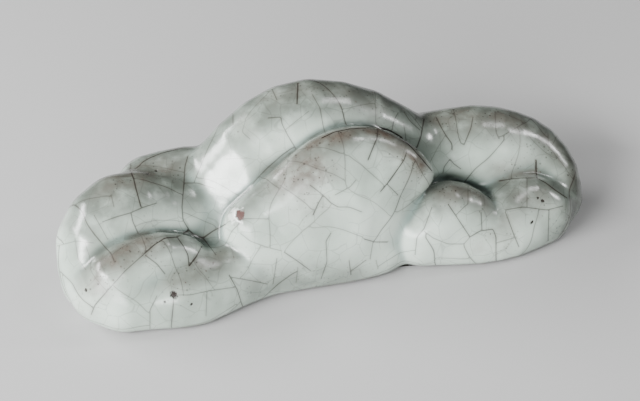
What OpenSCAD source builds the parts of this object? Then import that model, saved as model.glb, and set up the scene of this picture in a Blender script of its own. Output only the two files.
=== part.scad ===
// Hollow stoneware brush rest in the form of a small mountain range, about 113 mm long.
// Two press-moulded halves stand on a clay base slab, and one glaze coat covers all but the foot.
// Millimetres. The origin is on the foot plane, midway along the range, on the seam of the halves.

/* [Main peak] */
// Place of the main peak along the range
main_peak_x = 1; // [-6:1:8]
// Place of the main peak across the range, behind the seam
main_peak_y = 8; // [6:0.5:10]
// Height of the main peak above the table
main_peak_height = 35.8; // [30:0.2:42]

/* [Front hill] */
// Place of the arched front hill along the range
front_hill_x = 3; // [0:1:10]
// Place of the arched front hill across the range
front_hill_y = -4.8; // [-6:0.2:-3]
// Height of the front hill's arched crest above the table
front_hill_height = 31.6; // [27:0.1:34]

/* [Left side] */
// Place of the left peak along the range
left_peak_x = -35; // [-42:1:-31]
// Height of the left peak above the table
left_peak_height = 23.2; // [18:0.1:28]
// Height of the lobe behind the left saddle
back_lobe_height = 23; // [20:0.1:28]
// Height of the finger-like hill in front of the left peak
left_front_height = 18; // [16:0.1:20]

/* [Right side] */
// Place of the right peak along the range
right_peak_x = 35; // [31:1:42]
// Height of the right peak above the table
right_peak_height = 24; // [19:0.1:29]
// Height of the near hill in front of the right saddle
right_near_height = 16.8; // [14.5:0.1:18.5]
// Height of the far hill in front of the right peak
right_far_height = 13.8; // [12:0.1:17]

/* [Foot] */
// Height of the skirt of clay along the foot of the hills
skirt_height = 8.2; // [7:0.1:10]
// How far the skirt stands out in front, measured from the seam
skirt_front = 11.8; // [10:0.1:14]
// How far the skirt stands out behind, measured from the seam
skirt_back = 10.5; // [9:0.1:13]
// Thickness of the base slab
slab_thickness = 4; // [3:0.5:6]
// Bevel round the bottom edge of the slab
foot_bevel = 0.6; // [0.3:0.1:1.2]

/* [Clay and glaze] */
// Wall of the press-moulded halves
clay_wall = 4.5; // [3:0.5:6]
// Thickness of the glaze
glaze_thickness = 1.2; // [0.8:0.1:1.6]
// Height at which the glaze was wiped off above the table
glaze_line = 0.6; // [0.4:0.1:1.2]
// Diameter of the firing vent through the base slab
vent_d = 5; // [3:0.5:7]
// Distance from the middle of the range to the firing vent
vent_offset = 14; // [8:1:20]

/* [Softness] */
// Width of the soft join between one hill and the next
valley_softness = 0.8; // [0.6:0.1:2]
// Width of the soft join inside the foot and the main peak
foot_softness = 2.5; // [1.5:0.1:3.5]
// Width of the soft join inside the small hills
hill_softness = 1.5; // [1:0.1:2.5]

/* [Hidden] */

clay_colour = "#6f5a4a";
slab_colour = "#4a3a30";
glaze_colour = "#b2beb6";

// Every hill is a few crests, and a crest is a row of modelling points. A point holds its place
// along and across from the hill's own place, the share of the hill's height that it reaches,
// and the radius of the clay there.
function crest(place, height, points) =
    [for (p = points) [place.x + p[0], place.y + p[1], p[2] * height - p[3], p[3]]];

// Two neighbouring points span a tapered roll of clay. It is kept as its start, its direction, its
// length, its first radius, the taper along it, and the lean that the taper gives its skin.
function roll(a, b) =
    let (
        start = [a[0], a[1], a[2]],
        run = [b[0], b[1], b[2]] - start,
        length = norm(run),
        taper = (b[3] - a[3]) / length
    )
    [start, run / length, length, a[3], taper, taper / sqrt(1 - taper * taper)];

// A point put in between two modelling points keeps the crest's bend smooth.
function between(a, b, c, d) = (9 * (b + c) - a - d) / 16;

function bent(points) =
    let (last = len(points) - 1)
    [
        for (i = [0 : last - 1])
            each [
                points[i],
                between(
                    points[max(i - 1, 0)],
                    points[i],
                    points[i + 1],
                    points[min(i + 2, last)]
                )
            ],
        points[last]
    ];

function rolls(points) = [for (i = [0 : len(points) - 2]) roll(points[i], points[i + 1])];

function hill(softness, crests) =
    [softness, [for (c = crests) rolls(bent(c))], [for (c = crests) 1]];

// The foot runs under the whole range and follows the two end peaks.
left_end = left_peak_x - 8;
right_end = right_peak_x + 10;
foot_ridge = [
    [left_end, 0, 5, 8],
    [main_peak_x - 2, 0, 6, 9.5],
    [main_peak_x + 18, 0, 5.5, 7],
    [right_end - 2, 0, 4.5, 6.4]
];
front_skirt = [
    [left_end + 1, -skirt_front + 3.4, skirt_height - 4.2, 5.2],
    [left_peak_x + 1, -skirt_front + 0.4, skirt_height - 4.2, 5.1],
    [left_peak_x + 9, -skirt_front - 0.4, skirt_height - 4.2, 5],
    [main_peak_x - 15, -skirt_front + 3.2, skirt_height - 4.2, 4.8],
    [front_hill_x - 2, -skirt_front + 2.6, skirt_height - 4.2, 5],
    [front_hill_x + 6, -skirt_front + 2.8, skirt_height - 4.2, 5],
    [front_hill_x + 13, -skirt_front + 5.6, skirt_height - 4.2, 4.6],
    [right_peak_x - 8, -skirt_front + 0.6, skirt_height - 4.2, 4.8],
    [right_peak_x - 1, -skirt_front - 0.2, skirt_height - 4.2, 5.4],
    [right_peak_x + 6, -skirt_front + 1.2, skirt_height - 4.2, 5.4],
    [right_peak_x + 13.4, -skirt_front + 6.3, skirt_height - 3.7, 5.4]
];
back_skirt = [
    [left_end + 2, skirt_back - 3.5, 5, 7],
    [left_peak_x + 10, skirt_back - 1, 5, 6],
    [main_peak_x - 4, skirt_back, 5.5, 7],
    [main_peak_x + 18, skirt_back - 3, 5, 6],
    [right_peak_x + 2, skirt_back - 4.5, 5, 7],
    [right_peak_x + 12, skirt_back - 8.5, 5, 7]
];

main_peak = [main_peak_x, main_peak_y];
main_crest = [
    [-27, -1.5, 0.465, 7.5],
    [-19, -0.5, 0.73, 8],
    [-10, 0, 0.94, 8.6],
    [-1, 0, 1, 9],
    [10, -1, 0.897, 8.5],
    [20, -2.5, 0.685, 8]
];
main_spur = [
    [-21, -6.5, 0.47, 8.4],
    [-13, -5, 0.69, 8.2]
];
main_back = [
    [-14, 0, 0.56, 9],
    [0, 0.5, 0.69, 9.5],
    [12, -1, 0.59, 8.5]
];

front_hill = [front_hill_x, front_hill_y];
arch_crest = [
    [-21.6, -2.8, 0.63, 3],
    [-17.1, -2.2, 0.725, 3.2],
    [-13.2, -1.8, 0.8, 3.2],
    [-9, -1.3, 0.9, 3.4],
    [-5, -0.8, 0.972, 3.6],
    [-1, -0.2, 1, 3.7],
    [3, 0.1, 0.99, 3.8],
    [6.6, -0.1, 0.96, 3.8],
    [9.4, -1.6, 0.92, 3.6],
    [12.4, -3, 0.86, 3.3],
    [14.8, -3.8, 0.765, 3]
];
arch_belly = [
    [-20, -2.6, 0.5, 5],
    [-14, -1.4, 0.6, 6],
    [-6, -1, 0.8, 6.6],
    [0.5, -1.2, 0.865, 6.8],
    [6.5, -1.2, 0.78, 5.8],
    [9.6, -1, 0.62, 4.6]
];
arch_foot = [
    [-15, -2, 0.46, 6],
    [-6, -2.2, 0.56, 6.6],
    [0.5, -2.6, 0.61, 6.9],
    [6, -1.6, 0.52, 5.8],
    [8.4, -0.2, 0.42, 4.8]
];

arch_base = [
    [-14, -1.8, 0.32, 5.4],
    [-1, -2.6, 0.36, 6.4],
    [6, -1.8, 0.33, 5.6]
];

back_lobe = [left_peak_x + 12, 11];
back_lobe_crest = [
    [-10, 0.5, 0.955, 8],
    [-3, 0, 0.985, 8.4],
    [4, -1, 0.93, 7.6]
];

left_peak = [left_peak_x, 4];
left_crest = [
    [8, 0.5, 0.83, 7.8],
    [0, 0, 0.965, 9],
    [-6.6, -0.4, 1.02, 9.5],
    [-11.3, -2.6, 0.865, 9.4],
    [-13.8, -7.8, 0.6, 7.4]
];

left_front = [left_peak_x - 4, -10];
finger_crest = [
    [-11.5, 0.2, 0.62, 4.6],
    [-8, -0.2, 0.88, 4.4],
    [-3.5, 0.2, 0.975, 4.4],
    [2.5, 0.8, 0.985, 4.1],
    [7, 1.6, 0.87, 3.4]
];
finger_belly = [
    [-5.5, -1, 0.66, 6.6],
    [8, -1.8, 0.61, 6.6]
];
second_crest = [
    [5, -2.2, 0.65, 5.8],
    [14, -1, 0.68, 4.6],
    [22, 1.4, 0.66, 4]
];

right_peak = [right_peak_x, 4.8];
right_crest = [
    [-8, 1.7, 0.985, 8.2],
    [0.5, 0, 1.02, 8.6],
    [7.4, -0.6, 0.94, 7.8],
    [13, -1.9, 0.8, 7],
    [16.2, -6.2, 0.62, 5.8],
    [16.4, -9.8, 0.45, 5.2]
];
right_belly = [
    [3, -2.4, 0.65, 7.2],
    [12, -3, 0.6, 6.8]
];

right_near = [right_peak_x - 7, -9];
near_crest = [
    [-10.4, -0.9, 0.81, 5.4],
    [-6.8, -0.6, 0.95, 5.8],
    [-3.2, 0, 1, 6],
    [0.2, -0.6, 0.9, 5.4],
    [4.8, -2, 0.66, 3.6],
    [9.6, -1.4, 0.7, 4.6]
];
near_belly = [
    [-9, -0.7, 0.66, 5.6],
    [-3.5, -0.4, 0.7, 6.6],
    [1.4, -1, 0.6, 6]
];

right_far = [right_peak_x + 4.5, -6.5];
far_crest = [
    [-0.8, -1.8, 0.9, 4.4],
    [2.8, -1, 0.96, 4.4],
    [6, -1.4, 0.9, 4.2],
    [8.4, -2.8, 0.74, 3.8]
];
far_belly = [
    [0.5, -2, 0.78, 6.6],
    [6, -1.7, 0.72, 6.2]
];

HILLS = [
    hill(foot_softness, [foot_ridge, front_skirt, back_skirt]),
    hill(2 * valley_softness, [
        crest(main_peak, main_peak_height, main_crest),
        crest(main_peak, main_peak_height, main_spur),
        crest(main_peak, main_peak_height, main_back)
    ]),
    hill(foot_softness, [
        crest(front_hill, front_hill_height, arch_crest),
        crest(front_hill, front_hill_height, arch_belly),
        crest(front_hill, front_hill_height, arch_foot),
        crest(front_hill, front_hill_height, arch_base)
    ]),
    hill(hill_softness, [crest(back_lobe, back_lobe_height, back_lobe_crest)]),
    hill(hill_softness, [crest(left_peak, left_peak_height, left_crest)]),
    hill(hill_softness, [
        crest(left_front, left_front_height, finger_crest),
        crest(left_front, left_front_height, finger_belly),
        crest(left_front, left_front_height, second_crest)
    ]),
    hill(hill_softness, [
        crest(right_peak, right_peak_height, right_crest),
        crest(right_peak, right_peak_height, right_belly)
    ]),
    hill(hill_softness, [
        crest(right_near, right_near_height, near_crest),
        crest(right_near, right_near_height, near_belly)
    ]),
    hill(hill_softness, [
        crest(right_far, right_far_height, far_crest),
        crest(right_far, right_far_height, far_belly)
    ])
];

// Distance from a point to the skin of one roll, negative inside.
function roll_distance(p, r) =
    let (
        from = p - r[0],
        forward = from * r[1],
        aside = sqrt(max(0, from * from - forward * forward)),
        t = max(0, min(r[2], forward + aside * r[5]))
    )
    norm(from - r[1] * t) - r[3] - r[4] * t;

function crest_distance(p, c) = min([for (r = c) roll_distance(p, r)]);

function hill_distance(p, h) =
    -h[0] * ln([for (c = h[1]) exp(-crest_distance(p, c) / h[0])] * h[2]);

HILL_ONES = [for (h = HILLS) 1];

// Distance from a point to the outside of the range, with soft valleys where hills meet.
function range_distance(p) =
    -valley_softness
    * ln([for (h = HILLS) exp(-hill_distance(p, h) / valley_softness)] * HILL_ONES);

// The surfaces are found along rays that start on a spine in the seam plane. From outside, each
// step goes inwards by the distance that is left to the wanted depth below the glazed surface.
REACH = 70;
STEPS = 40;
CLOSE = 0.01;
LEAST = 1;

function along(start, way, depth, t, steps) =
    let (left = range_distance(start + way * t) + depth)
    steps == 0 || left < CLOSE || t < LEAST
    ? max(t - left, LEAST)
    : along(start, way, depth, t - left, steps - 1);

function heading(azimuth, elevation) =
    [cos(azimuth) * cos(elevation), sin(azimuth) * cos(elevation), sin(elevation)];

function surface_point(start, way, depth) = start + way * along(start, way, depth, REACH, STEPS);

// The cavity lies one wall inside the clay, measured square to the surface, which a slanting ray
// crosses over a longer way.
PROBE = 0.2;
MOST_SLANT = 0.5;
function cavity_point(start, way) =
    let (
        t = along(start, way, glaze_thickness, REACH, STEPS),
        beyond = range_distance(start + way * (t + PROBE)),
        before = range_distance(start + way * (t - PROBE)),
        facing = (beyond - before) / (2 * PROBE)
    )
    start + way * max(LEAST, t - clay_wall / max(MOST_SLANT, facing));

// A column of rays is a stop on the spine and an azimuth. The rays fan out round both ends of the
// spine and run straight out between them, counterclockwise from the left end for the front half
// and from the right end for the back half.
END_COLUMNS = 12;
STOPS = 32;
GLAZE_ROWS = 24;
CLAY_ROWS = 12;
CAVITY_ROWS = 6;

function half_columns(first, last, turn) = concat(
    [for (i = [0 : END_COLUMNS - 1]) [first, turn + 90 * i / END_COLUMNS]],
    [for (k = [first : sign(last - first) : last]) [k, turn + 90]],
    [for (i = [1 : END_COLUMNS]) [last, turn + 90 + 90 * i / END_COLUMNS]]
);

FRONT = half_columns(0, STOPS, 180);
BACK = half_columns(STOPS, 0, 0);
RING = concat(FRONT, [for (i = [1 : len(BACK) - 2]) BACK[i]]);

spine_left = left_peak_x - 1;
spine_right = right_peak_x + 2;
function stop(k, z) = [spine_left + (spine_right - spine_left) * k / STOPS, 0, z];

// Level rows go round the slab's edge, and fan rows climb from the slab's top to the crest line.
function level_row(columns, z, depth) =
    [for (c = columns) surface_point(stop(c[0], z), heading(c[1], 0), depth)];

// The foot is the glaze line's outline brought down to the table and in by the bevel.
function foot_row(columns) =
    [for (c = columns)
        let (way = heading(c[1], 0))
        surface_point(stop(c[0], glaze_line), way, glaze_thickness)
            - way * foot_bevel - [0, 0, glaze_line]];

function fan_row(columns, elevation, depth) =
    [for (c = columns) surface_point(stop(c[0], slab_thickness), heading(c[1], elevation), depth)];

function fan_rows(columns, count, depth) =
    [for (r = [0 : count - 1]) each fan_row(columns, 90 * r / count, depth)];

function crest_line(depth) =
    [for (k = [0 : STOPS]) surface_point(stop(k, slab_thickness), heading(0, 90), depth)];

function cavity_rows(columns, count) =
    [for (r = [0 : count - 1], c = columns)
        cavity_point(stop(c[0], slab_thickness), heading(c[1], 90 * r / count))];

function cavity_crest() =
    [for (k = [0 : STOPS]) cavity_point(stop(k, slab_thickness), heading(0, 90))];

// Four corners give two triangles, split along the shorter diagonal.
function split(points, a, b, c, d) =
    norm(points[a] - points[c]) < norm(points[b] - points[d])
    ? [[a, b, c], [a, c, d]]
    : [[a, b, d], [b, c, d]];

// Outward faces of a skin whose rows start at the given vertex and end in a crest line.
function skin(points, first, columns, rows, closed) =
    let (
        n = len(columns),
        crest_first = first + rows * n,
        bands = closed ? n : n - 1
    )
    [for (i = [0 : bands - 1])
        let (j = (i + 1) % n, at_i = columns[i][0], at_j = columns[j][0])
        each concat(
            [for (r = [0 : rows - 2])
                let (low = first + r * n)
                each split(points, low + i, low + n + i, low + n + j, low + j)],
            let (low = crest_first - n)
            at_i == at_j
            ? [[low + i, crest_first + at_i, low + j]]
            : split(points, low + i, crest_first + at_i, crest_first + at_j, low + j)
        )];

function reversed(faces) = [for (f = faces) [f[2], f[1], f[0]]];
function backwards(list) = [for (i = [len(list) - 1 : -1 : 0]) list[i]];

// The vertices up one end of a half skin, along its crest line and down its other end.
function seam_edge(first, columns, rows) =
    let (n = len(columns), crest_first = first + rows * n)
    concat(
        [for (r = [0 : rows - 1]) first + r * n],
        [for (c = columns) if (c[1] == columns[END_COLUMNS][1]) crest_first + c[0]],
        [for (r = [rows - 1 : -1 : 0]) first + r * n + n - 1]
    );

function foot_edge(first, columns) = [for (i = [0 : len(columns) - 1]) first + i];

// A flat face between two edges, zipped up along whichever new diagonal is shorter.
function zip(points, a, b, i, j) =
    let (a_left = i < len(a) - 1, b_left = j < len(b) - 1)
    !a_left && !b_left
    ? []
    : let (
        along_a = a_left ? norm(points[a[i + 1]] - points[b[j]]) : REACH,
        along_b = b_left ? norm(points[a[i]] - points[b[j + 1]]) : REACH
    )
    along_a < along_b
    ? concat([[a[i], a[i + 1], b[j]]], zip(points, a, b, i + 1, j))
    : concat([[a[i], b[j + 1], b[j]]], zip(points, a, b, i, j + 1));

edge_levels = [glaze_line, (glaze_line + slab_thickness) / 2];

// One press-moulded half: its outer skin, its cavity, the flat seam and the flat foot.
module shell_half(columns) {
    outer = concat(
        fan_rows(columns, CLAY_ROWS, glaze_thickness),
        crest_line(glaze_thickness)
    );
    inner = concat(
        cavity_rows(columns, CAVITY_ROWS),
        cavity_crest()
    );
    points = concat(outer, inner);
    inner_first = len(outer);
    polyhedron(
        points = points,
        faces = concat(
            skin(points, 0, columns, CLAY_ROWS, false),
            reversed(skin(points, inner_first, columns, CAVITY_ROWS, false)),
            reversed(zip(
                points,
                seam_edge(0, columns, CLAY_ROWS),
                seam_edge(inner_first, columns, CAVITY_ROWS),
                0,
                0
            )),
            zip(points, foot_edge(0, columns), foot_edge(inner_first, columns), 0, 0)
        )
    );
}

module front_shell() {
    color(clay_colour)
        shell_half(FRONT);
}

module back_shell() {
    color(clay_colour)
        shell_half(BACK);
}

// The slab's edge carries on the outer skin of the halves, down to a bevel and a flat foot.
module base_slab() {
    rows = concat(
        [foot_row(RING)],
        [for (z = edge_levels) level_row(RING, z, glaze_thickness)],
        [fan_row(RING, 0, glaze_thickness)]
    );
    points = [for (row = rows) each row];
    n = len(RING);
    top = (len(rows) - 1) * n;
    color(slab_colour)
        difference() {
            polyhedron(
                points = points,
                faces = concat(
                    [for (r = [0 : len(rows) - 2], i = [0 : n - 1])
                        let (low = r * n, j = (i + 1) % n)
                        each split(points, low + i, low + n + i, low + n + j, low + j)],
                    [foot_edge(0, RING)],
                    [backwards(foot_edge(top, RING))]
                )
            );
            translate([vent_offset, 0, -1])
                cylinder(d = vent_d, h = slab_thickness + 2, $fn = 48);
        }
}

function glaze_skin(rows, depth) = concat(
    [for (z = edge_levels) each level_row(RING, z, depth)],
    fan_rows(RING, rows, depth),
    crest_line(depth)
);

// The glaze is one coat over the slab's edge and both halves, with a wiped rim above the foot.
module glaze_coat() {
    outer = glaze_skin(GLAZE_ROWS, 0);
    inner = glaze_skin(CLAY_ROWS, glaze_thickness);
    points = concat(outer, inner);
    inner_first = len(outer);
    levels = len(edge_levels);
    n = len(RING);
    color(glaze_colour)
        polyhedron(
            points = points,
            faces = concat(
                skin(points, 0, RING, GLAZE_ROWS + levels, true),
                reversed(skin(points, inner_first, RING, CLAY_ROWS + levels, true)),
                [for (i = [0 : n - 1])
                    let (j = (i + 1) % n)
                    [i, j, inner_first + j, inner_first + i]]
            )
        );
}

base_slab();
front_shell();
back_shell();
glaze_coat();
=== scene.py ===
"""Looks of a hollow stoneware brush rest: a small mountain range under one crackled celadon glaze.

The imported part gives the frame. Lengths of the modelled clay are in millimetres, as a potter
would say them, and every mesh is brought to metres as it is made.
"""

from __future__ import annotations

import logging
import math
from dataclasses import dataclass, field
from enum import Enum

import bpy
import numpy as np
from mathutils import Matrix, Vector
from mathutils.kdtree import KDTree


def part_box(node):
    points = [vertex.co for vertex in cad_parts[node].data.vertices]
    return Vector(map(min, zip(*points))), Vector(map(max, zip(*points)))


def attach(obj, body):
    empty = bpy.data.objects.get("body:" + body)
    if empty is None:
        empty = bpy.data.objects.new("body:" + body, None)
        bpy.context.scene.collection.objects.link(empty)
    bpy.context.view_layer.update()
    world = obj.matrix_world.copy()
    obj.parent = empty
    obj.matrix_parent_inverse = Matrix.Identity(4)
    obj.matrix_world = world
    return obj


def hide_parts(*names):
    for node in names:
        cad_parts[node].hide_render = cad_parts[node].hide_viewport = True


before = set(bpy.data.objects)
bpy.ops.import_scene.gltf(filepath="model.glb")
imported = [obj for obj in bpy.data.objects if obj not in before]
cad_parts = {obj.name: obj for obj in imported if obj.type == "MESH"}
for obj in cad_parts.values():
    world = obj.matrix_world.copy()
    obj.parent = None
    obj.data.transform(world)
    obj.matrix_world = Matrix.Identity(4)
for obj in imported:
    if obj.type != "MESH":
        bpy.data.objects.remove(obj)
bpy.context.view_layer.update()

MM = 0.001
FOOT_NODE = "base_slab"
CLAY_SHELLS = ("front_shell", "back_shell")
GLAZE_NODE = "glaze_coat"
BODY = "root"
log = logging.getLogger("brush_rest")

# Cells of the glaze's net, and how far off a form is still felt, in millimetres.
FINE_CELL = 0.44
FAR = 8

# The least divisor, the fully dark share of a soft line's width, and an input's unset place.
TINY = 1e-30
LINE_CORE = 0.3
NOWHERE = (0.0, 0.0, 0.0)

Rgb = tuple[float, float, float]
Place = tuple[float, float, float]
Point = tuple[float, float, float, float]
Pixel = tuple[float, float]
Pixels = tuple[Pixel, ...]
Span = tuple[float, float]
Socket = bpy.types.NodeSocket


# Cracks that the photograph shows: the stain of each, and the pixels that it passes, read off one
# by one.
PHOTOGRAPHED_CRACKS: dict[str, tuple[float, Pixels]] = {
    "finger": (0.85, ((189, 230), (177, 237), (165, 238), (154, 245), (144, 254))),
    "finger low": (0.55, ((144, 254), (125, 271), (109, 289), (95, 305), (91, 315))),
    "finger top": (0.4, ((141, 235), (146, 248), (144, 254))),
    "finger front": (0.5, ((145, 255), (157, 264), (165, 274))),
    "finger end": (0.7, ((177, 237), (184, 247), (188, 255), (189, 266))),
    "finger fork": (0.9, ((202, 246), (196, 257), (189, 266))),
    "left crown": (0.8, ((130, 169), (134, 180), (136, 189), (141, 207))),
    "left belly": (0.5, ((102, 222), (116, 217), (130, 213), (144, 207), (157, 203))),
    "left drop": (0.5, ((131, 213), (133, 222), (138, 233))),
    "left shoulder": (0.35, ((94, 215), (102, 229), (108, 240))),
    "left flank": (0.3, ((75, 238), (78, 259), (86, 270))),
    "left brow": (0.35, ((111, 194), (114, 207))),
    "left side": (0.3, ((57, 246), (76, 241), (94, 243))),
    "saddle": (0.6, ((188, 156), (185, 166), (184, 183), (182, 207), (183, 220), (189, 230))),
    "saddle bar": (0.5, ((184, 183), (198, 183), (213, 188))),
    "saddle foot": (0.7, ((189, 230), (195, 236), (203, 238), (213, 231), (226, 224))),
    "fork foot": (0.6, ((203, 238), (210, 247), (216, 255))),
    "spot drop": (0.6, ((174, 295), (173, 308), (171, 329))),
    "skirt one": (0.4, ((157, 296), (150, 310), (150, 330))),
    "skirt two": (0.4, ((207, 291), (206, 316))),
    "skirt three": (0.6, ((229, 275), (237, 289), (243, 308))),
    "skirt bar": (0.4, ((174, 295), (190, 295), (208, 291), (236, 287))),
    "main crown": (0.8, ((298, 83), (297, 104))),
    "main crown left": (0.5, ((272, 89), (277, 100))),
    "main long": (0.45, ((312, 94), (320, 108), (323, 125), (325, 133))),
    "main drop": (0.5, ((268, 118), (281, 117), (282, 124), (287, 134), (296, 149))),
    "main bar": (0.3, ((309, 111), (295, 122), (285, 130))),
    "main edge": (0.5, ((233, 113), (233, 125))),
    "main middle": (0.3, ((245, 122), (242, 132), (250, 139))),
    "main low": (0.25, ((226, 159), (247, 158))),
    "main right": (0.5, ((398, 113), (394, 120), (392, 130))),
    "right slope": (0.5, ((404, 112), (410, 121), (420, 130))),
    "right saddle": (0.7, ((424, 119), (421, 136), (416, 150))),
    "arch valley": (1.0, ((322, 138), (334, 132), (349, 129), (363, 128), (378, 127),
                          (391, 131), (401, 137), (412, 148), (421, 158), (432, 171))),
    "arch one": (0.7, ((378, 128), (377, 138), (374, 145), (368, 160))),
    "arch two": (0.8, ((407, 151), (404, 160), (395, 173), (387, 184), (380, 192))),
    "arch two fork": (0.5, ((387, 184), (398, 195))),
    "arch middle": (0.6, ((323, 195), (318, 204), (313, 215))),
    "arch middle bar": (0.5, ((310, 185), (323, 195), (331, 203), (338, 207))),
    "arch brow": (0.4, ((356, 180), (350, 187), (335, 195))),
    "arch centre": (0.4, ((338, 207), (349, 207), (362, 212))),
    "belly one": (0.5, ((331, 233), (326, 241), (327, 262), (321, 279))),
    "belly two": (0.5, ((284, 252), (296, 260), (311, 271))),
    "belly three": (0.5, ((349, 260), (351, 275))),
    "belly four": (0.5, ((351, 271), (358, 266), (366, 260))),
    "belly five": (0.4, ((373, 242), (370, 259))),
    "belly six": (0.6, ((364, 239), (375, 242), (388, 242))),
    "belly seven": (0.3, ((376, 260), (378, 269))),
    "belly eight": (0.4, ((230, 277), (253, 281), (267, 284))),
    "belly nine": (0.4, ((277, 258), (273, 284))),
    "belly ten": (0.3, ((240, 233), (250, 241), (266, 247), (282, 251))),
    "belly eleven": (0.3, ((298, 267), (296, 283))),
    "far crown": (0.6, ((436, 117), (441, 127), (445, 134), (452, 144), (452, 150))),
    "far drop": (0.5, ((450, 159), (444, 167), (443, 173))),
    "far fork": (0.5, ((450, 159), (454, 164), (461, 169))),
    "far crown two": (0.55, ((473, 117), (471, 128), (464, 145))),
    "far crown three": (0.35, ((495, 112), (496, 132), (499, 139))),
    "far fold": (0.9, ((536, 160), (536, 170), (537, 178))),
    "far side": (0.4, ((548, 134), (549, 149))),
    "far valley": (0.8, ((499, 181), (511, 179), (523, 178), (537, 178), (546, 183),
                         (555, 190), (567, 198))),
    "hollow hill": (0.4, ((527, 179), (527, 207))),
    "hollow hill bar": (0.5, ((505, 210), (523, 207), (547, 210), (563, 206))),
    "hollow hill drop": (0.6, ((549, 210), (548, 241))),
    "hollow hill side": (0.5, ((505, 211), (514, 235), (519, 247))),
    "near hill one": (0.6, ((448, 204), (456, 216), (464, 228), (470, 237))),
    "near hill two": (0.4, ((468, 185), (468, 204), (464, 207), (456, 215))),
    "near hill three": (0.6, ((470, 237), (480, 231), (493, 229), (496, 237), (496, 262))),
    "near hill four": (0.5, ((481, 212), (482, 230))),
    "near hill five": (0.45, ((432, 207), (424, 229), (417, 237), (415, 255))),
    "near hill six": (0.35, ((424, 231), (433, 238), (448, 244), (464, 244), (470, 237))),
    "near hill seven": (0.3, ((496, 243), (517, 237))),
}


# Marks of the glaze that the photograph shows: the pixel of each, and its radius in millimetres.
RUSTY_PIT = ((240.0, 214.5), 1.2)
BLACK_SPOT = ((174.0, 294.7), 0.95)
PINHOLES: tuple[tuple[Pixel, float], ...] = (
    ((86, 290), 0.4),
    ((148, 174), 0.5),
    ((156, 171), 0.35),
    ((543, 201), 0.45),
    ((532, 222), 0.4),
    ((538, 198), 0.3),
    ((165, 302), 0.3),
    ((192, 304), 0.3),
)

# Brown stretches of thin glaze: the strength of each, its radius in millimetres, and its pixels.
BROWN_STRETCHES: dict[str, tuple[float, float, Pixels]] = {
    "finger": (0.75, 4.0, ((96, 283), (104, 271), (116, 258), (131, 247), (146, 240))),
    "finger foot": (0.35, 3.0, ((88, 290), (95, 296), (92, 306))),
    "second finger": (0.5, 3.2, ((180, 281), (196, 272), (212, 264), (226, 256))),
    "left crown": (0.65, 4.5, ((112, 182), (128, 176), (146, 172), (160, 170))),
    "back left crown": (0.1, 6.0, ((140, 158), (155, 153), (172, 150), (186, 149))),
    "arch start": (0.9, 2.4, ((312, 146), (322, 141), (334, 137), (350, 134))),
    "arch crown": (1.0, 2.6, ((368, 130), (380, 131), (392, 137), (403, 146), (411, 154),
                              (420, 164))),
    "arch shoulder": (0.7, 2.6, ((392, 142), (403, 150))),
    "arch flank": (0.9, 4.6, ((286, 166), (300, 168), (316, 170), (290, 180))),
    "centre": (0.4, 5.0, ((300, 190), (310, 206))),
    "main crown": (0.35, 4.0, ((270, 96), (300, 88), (330, 88), (360, 96), (384, 106))),
    "main flank": (0.3, 2.5, ((246, 118), (240, 126), (250, 128))),
    "far crown": (0.55, 4.5, ((440, 118), (460, 114), (480, 114), (500, 118), (520, 126))),
    "far edge": (0.4, 4.0, ((546, 140), (560, 154), (570, 168))),
    "far valley": (0.55, 3.0, ((500, 171), (514, 172), (530, 172))),
    "near crown": (0.7, 3.6, ((450, 190), (462, 188), (474, 192), (484, 200))),
    "near drop": (0.35, 3.4, ((480, 246), (505, 240), (508, 226))),
    "hollow hill": (0.4, 3.6, ((524, 196), (538, 196), (546, 202))),
}


# Grey stretches, in the same terms: thin glaze in part, and in part painted shade and painted dark
# reflection on the back left lobe, the crowns, the far right edge and the low belly.
GREY_AND_SHADE_STRETCHES: dict[str, tuple[float, float, Pixels]] = {
    "left crown": (0.85, 4.0, ((96, 190), (112, 180), (128, 174), (150, 168), (172, 166),
                               (188, 160))),
    "back left crown": (0.85, 5.5, ((132, 162), (150, 154), (172, 150), (188, 149))),
    "main crown": (0.8, 4.5, ((236, 108), (256, 95), (280, 87), (310, 83), (340, 86), (366, 94))),
    "far crown": (0.85, 4.5, ((440, 113), (460, 110), (490, 111), (520, 121), (545, 138))),
    "far edge": (0.9, 6.0, ((550, 140), (556, 146), (568, 160), (577, 178), (576, 200),
                            (568, 222))),
    "far flank": (0.5, 4.5, ((548, 160), (556, 180), (560, 200))),
    "near crown": (0.5, 4.0, ((446, 190), (462, 188), (476, 194))),
    "second finger": (0.4, 4.0, ((150, 232), (166, 236), (184, 246), (200, 258))),
    "finger front": (0.35, 5.0, ((176, 272), (190, 282), (200, 292), (172, 312))),
    "arch right": (0.5, 3.5, ((392, 158), (404, 172), (412, 186))),
    "belly low": (0.6, 5.0, ((260, 284), (290, 280), (320, 280), (350, 276))),
}


class Attribute(Enum):
    """Names of what the glaze mesh carries for its material."""

    CRACK = "crack_distance"
    STRENGTH = "crack_strength"
    CELL = "crackle_cell"
    THIN = "thin_glaze"
    POOL_AND_SHADE = "pooled_glaze_and_shade"
    BROWN = "brown_glaze"
    # Partly thin grey glaze and partly painted shade.
    GREY_AND_SHADE = "grey_glaze_and_painted_shade"


def away(azimuth: float, elevation: float) -> Vector:
    """Direction from the object to a viewer, where azimuth 0 is the front.

    Args:
        azimuth: Degrees round the object, positive towards the right.
        elevation: Degrees above the table.

    Returns:
        A vector of length 1.
    """
    turn, rise = math.radians(azimuth), math.radians(elevation)
    flat = math.cos(rise)
    return Vector((math.sin(turn) * flat, -math.cos(turn) * flat, math.sin(rise)))


def unit(rows: np.ndarray) -> np.ndarray:
    """Bring every row to length 1.

    Args:
        rows: One vector a row.

    Returns:
        The same directions with length 1.
    """
    return rows / np.maximum(np.linalg.norm(rows, axis=1), TINY)[:, None]


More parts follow.
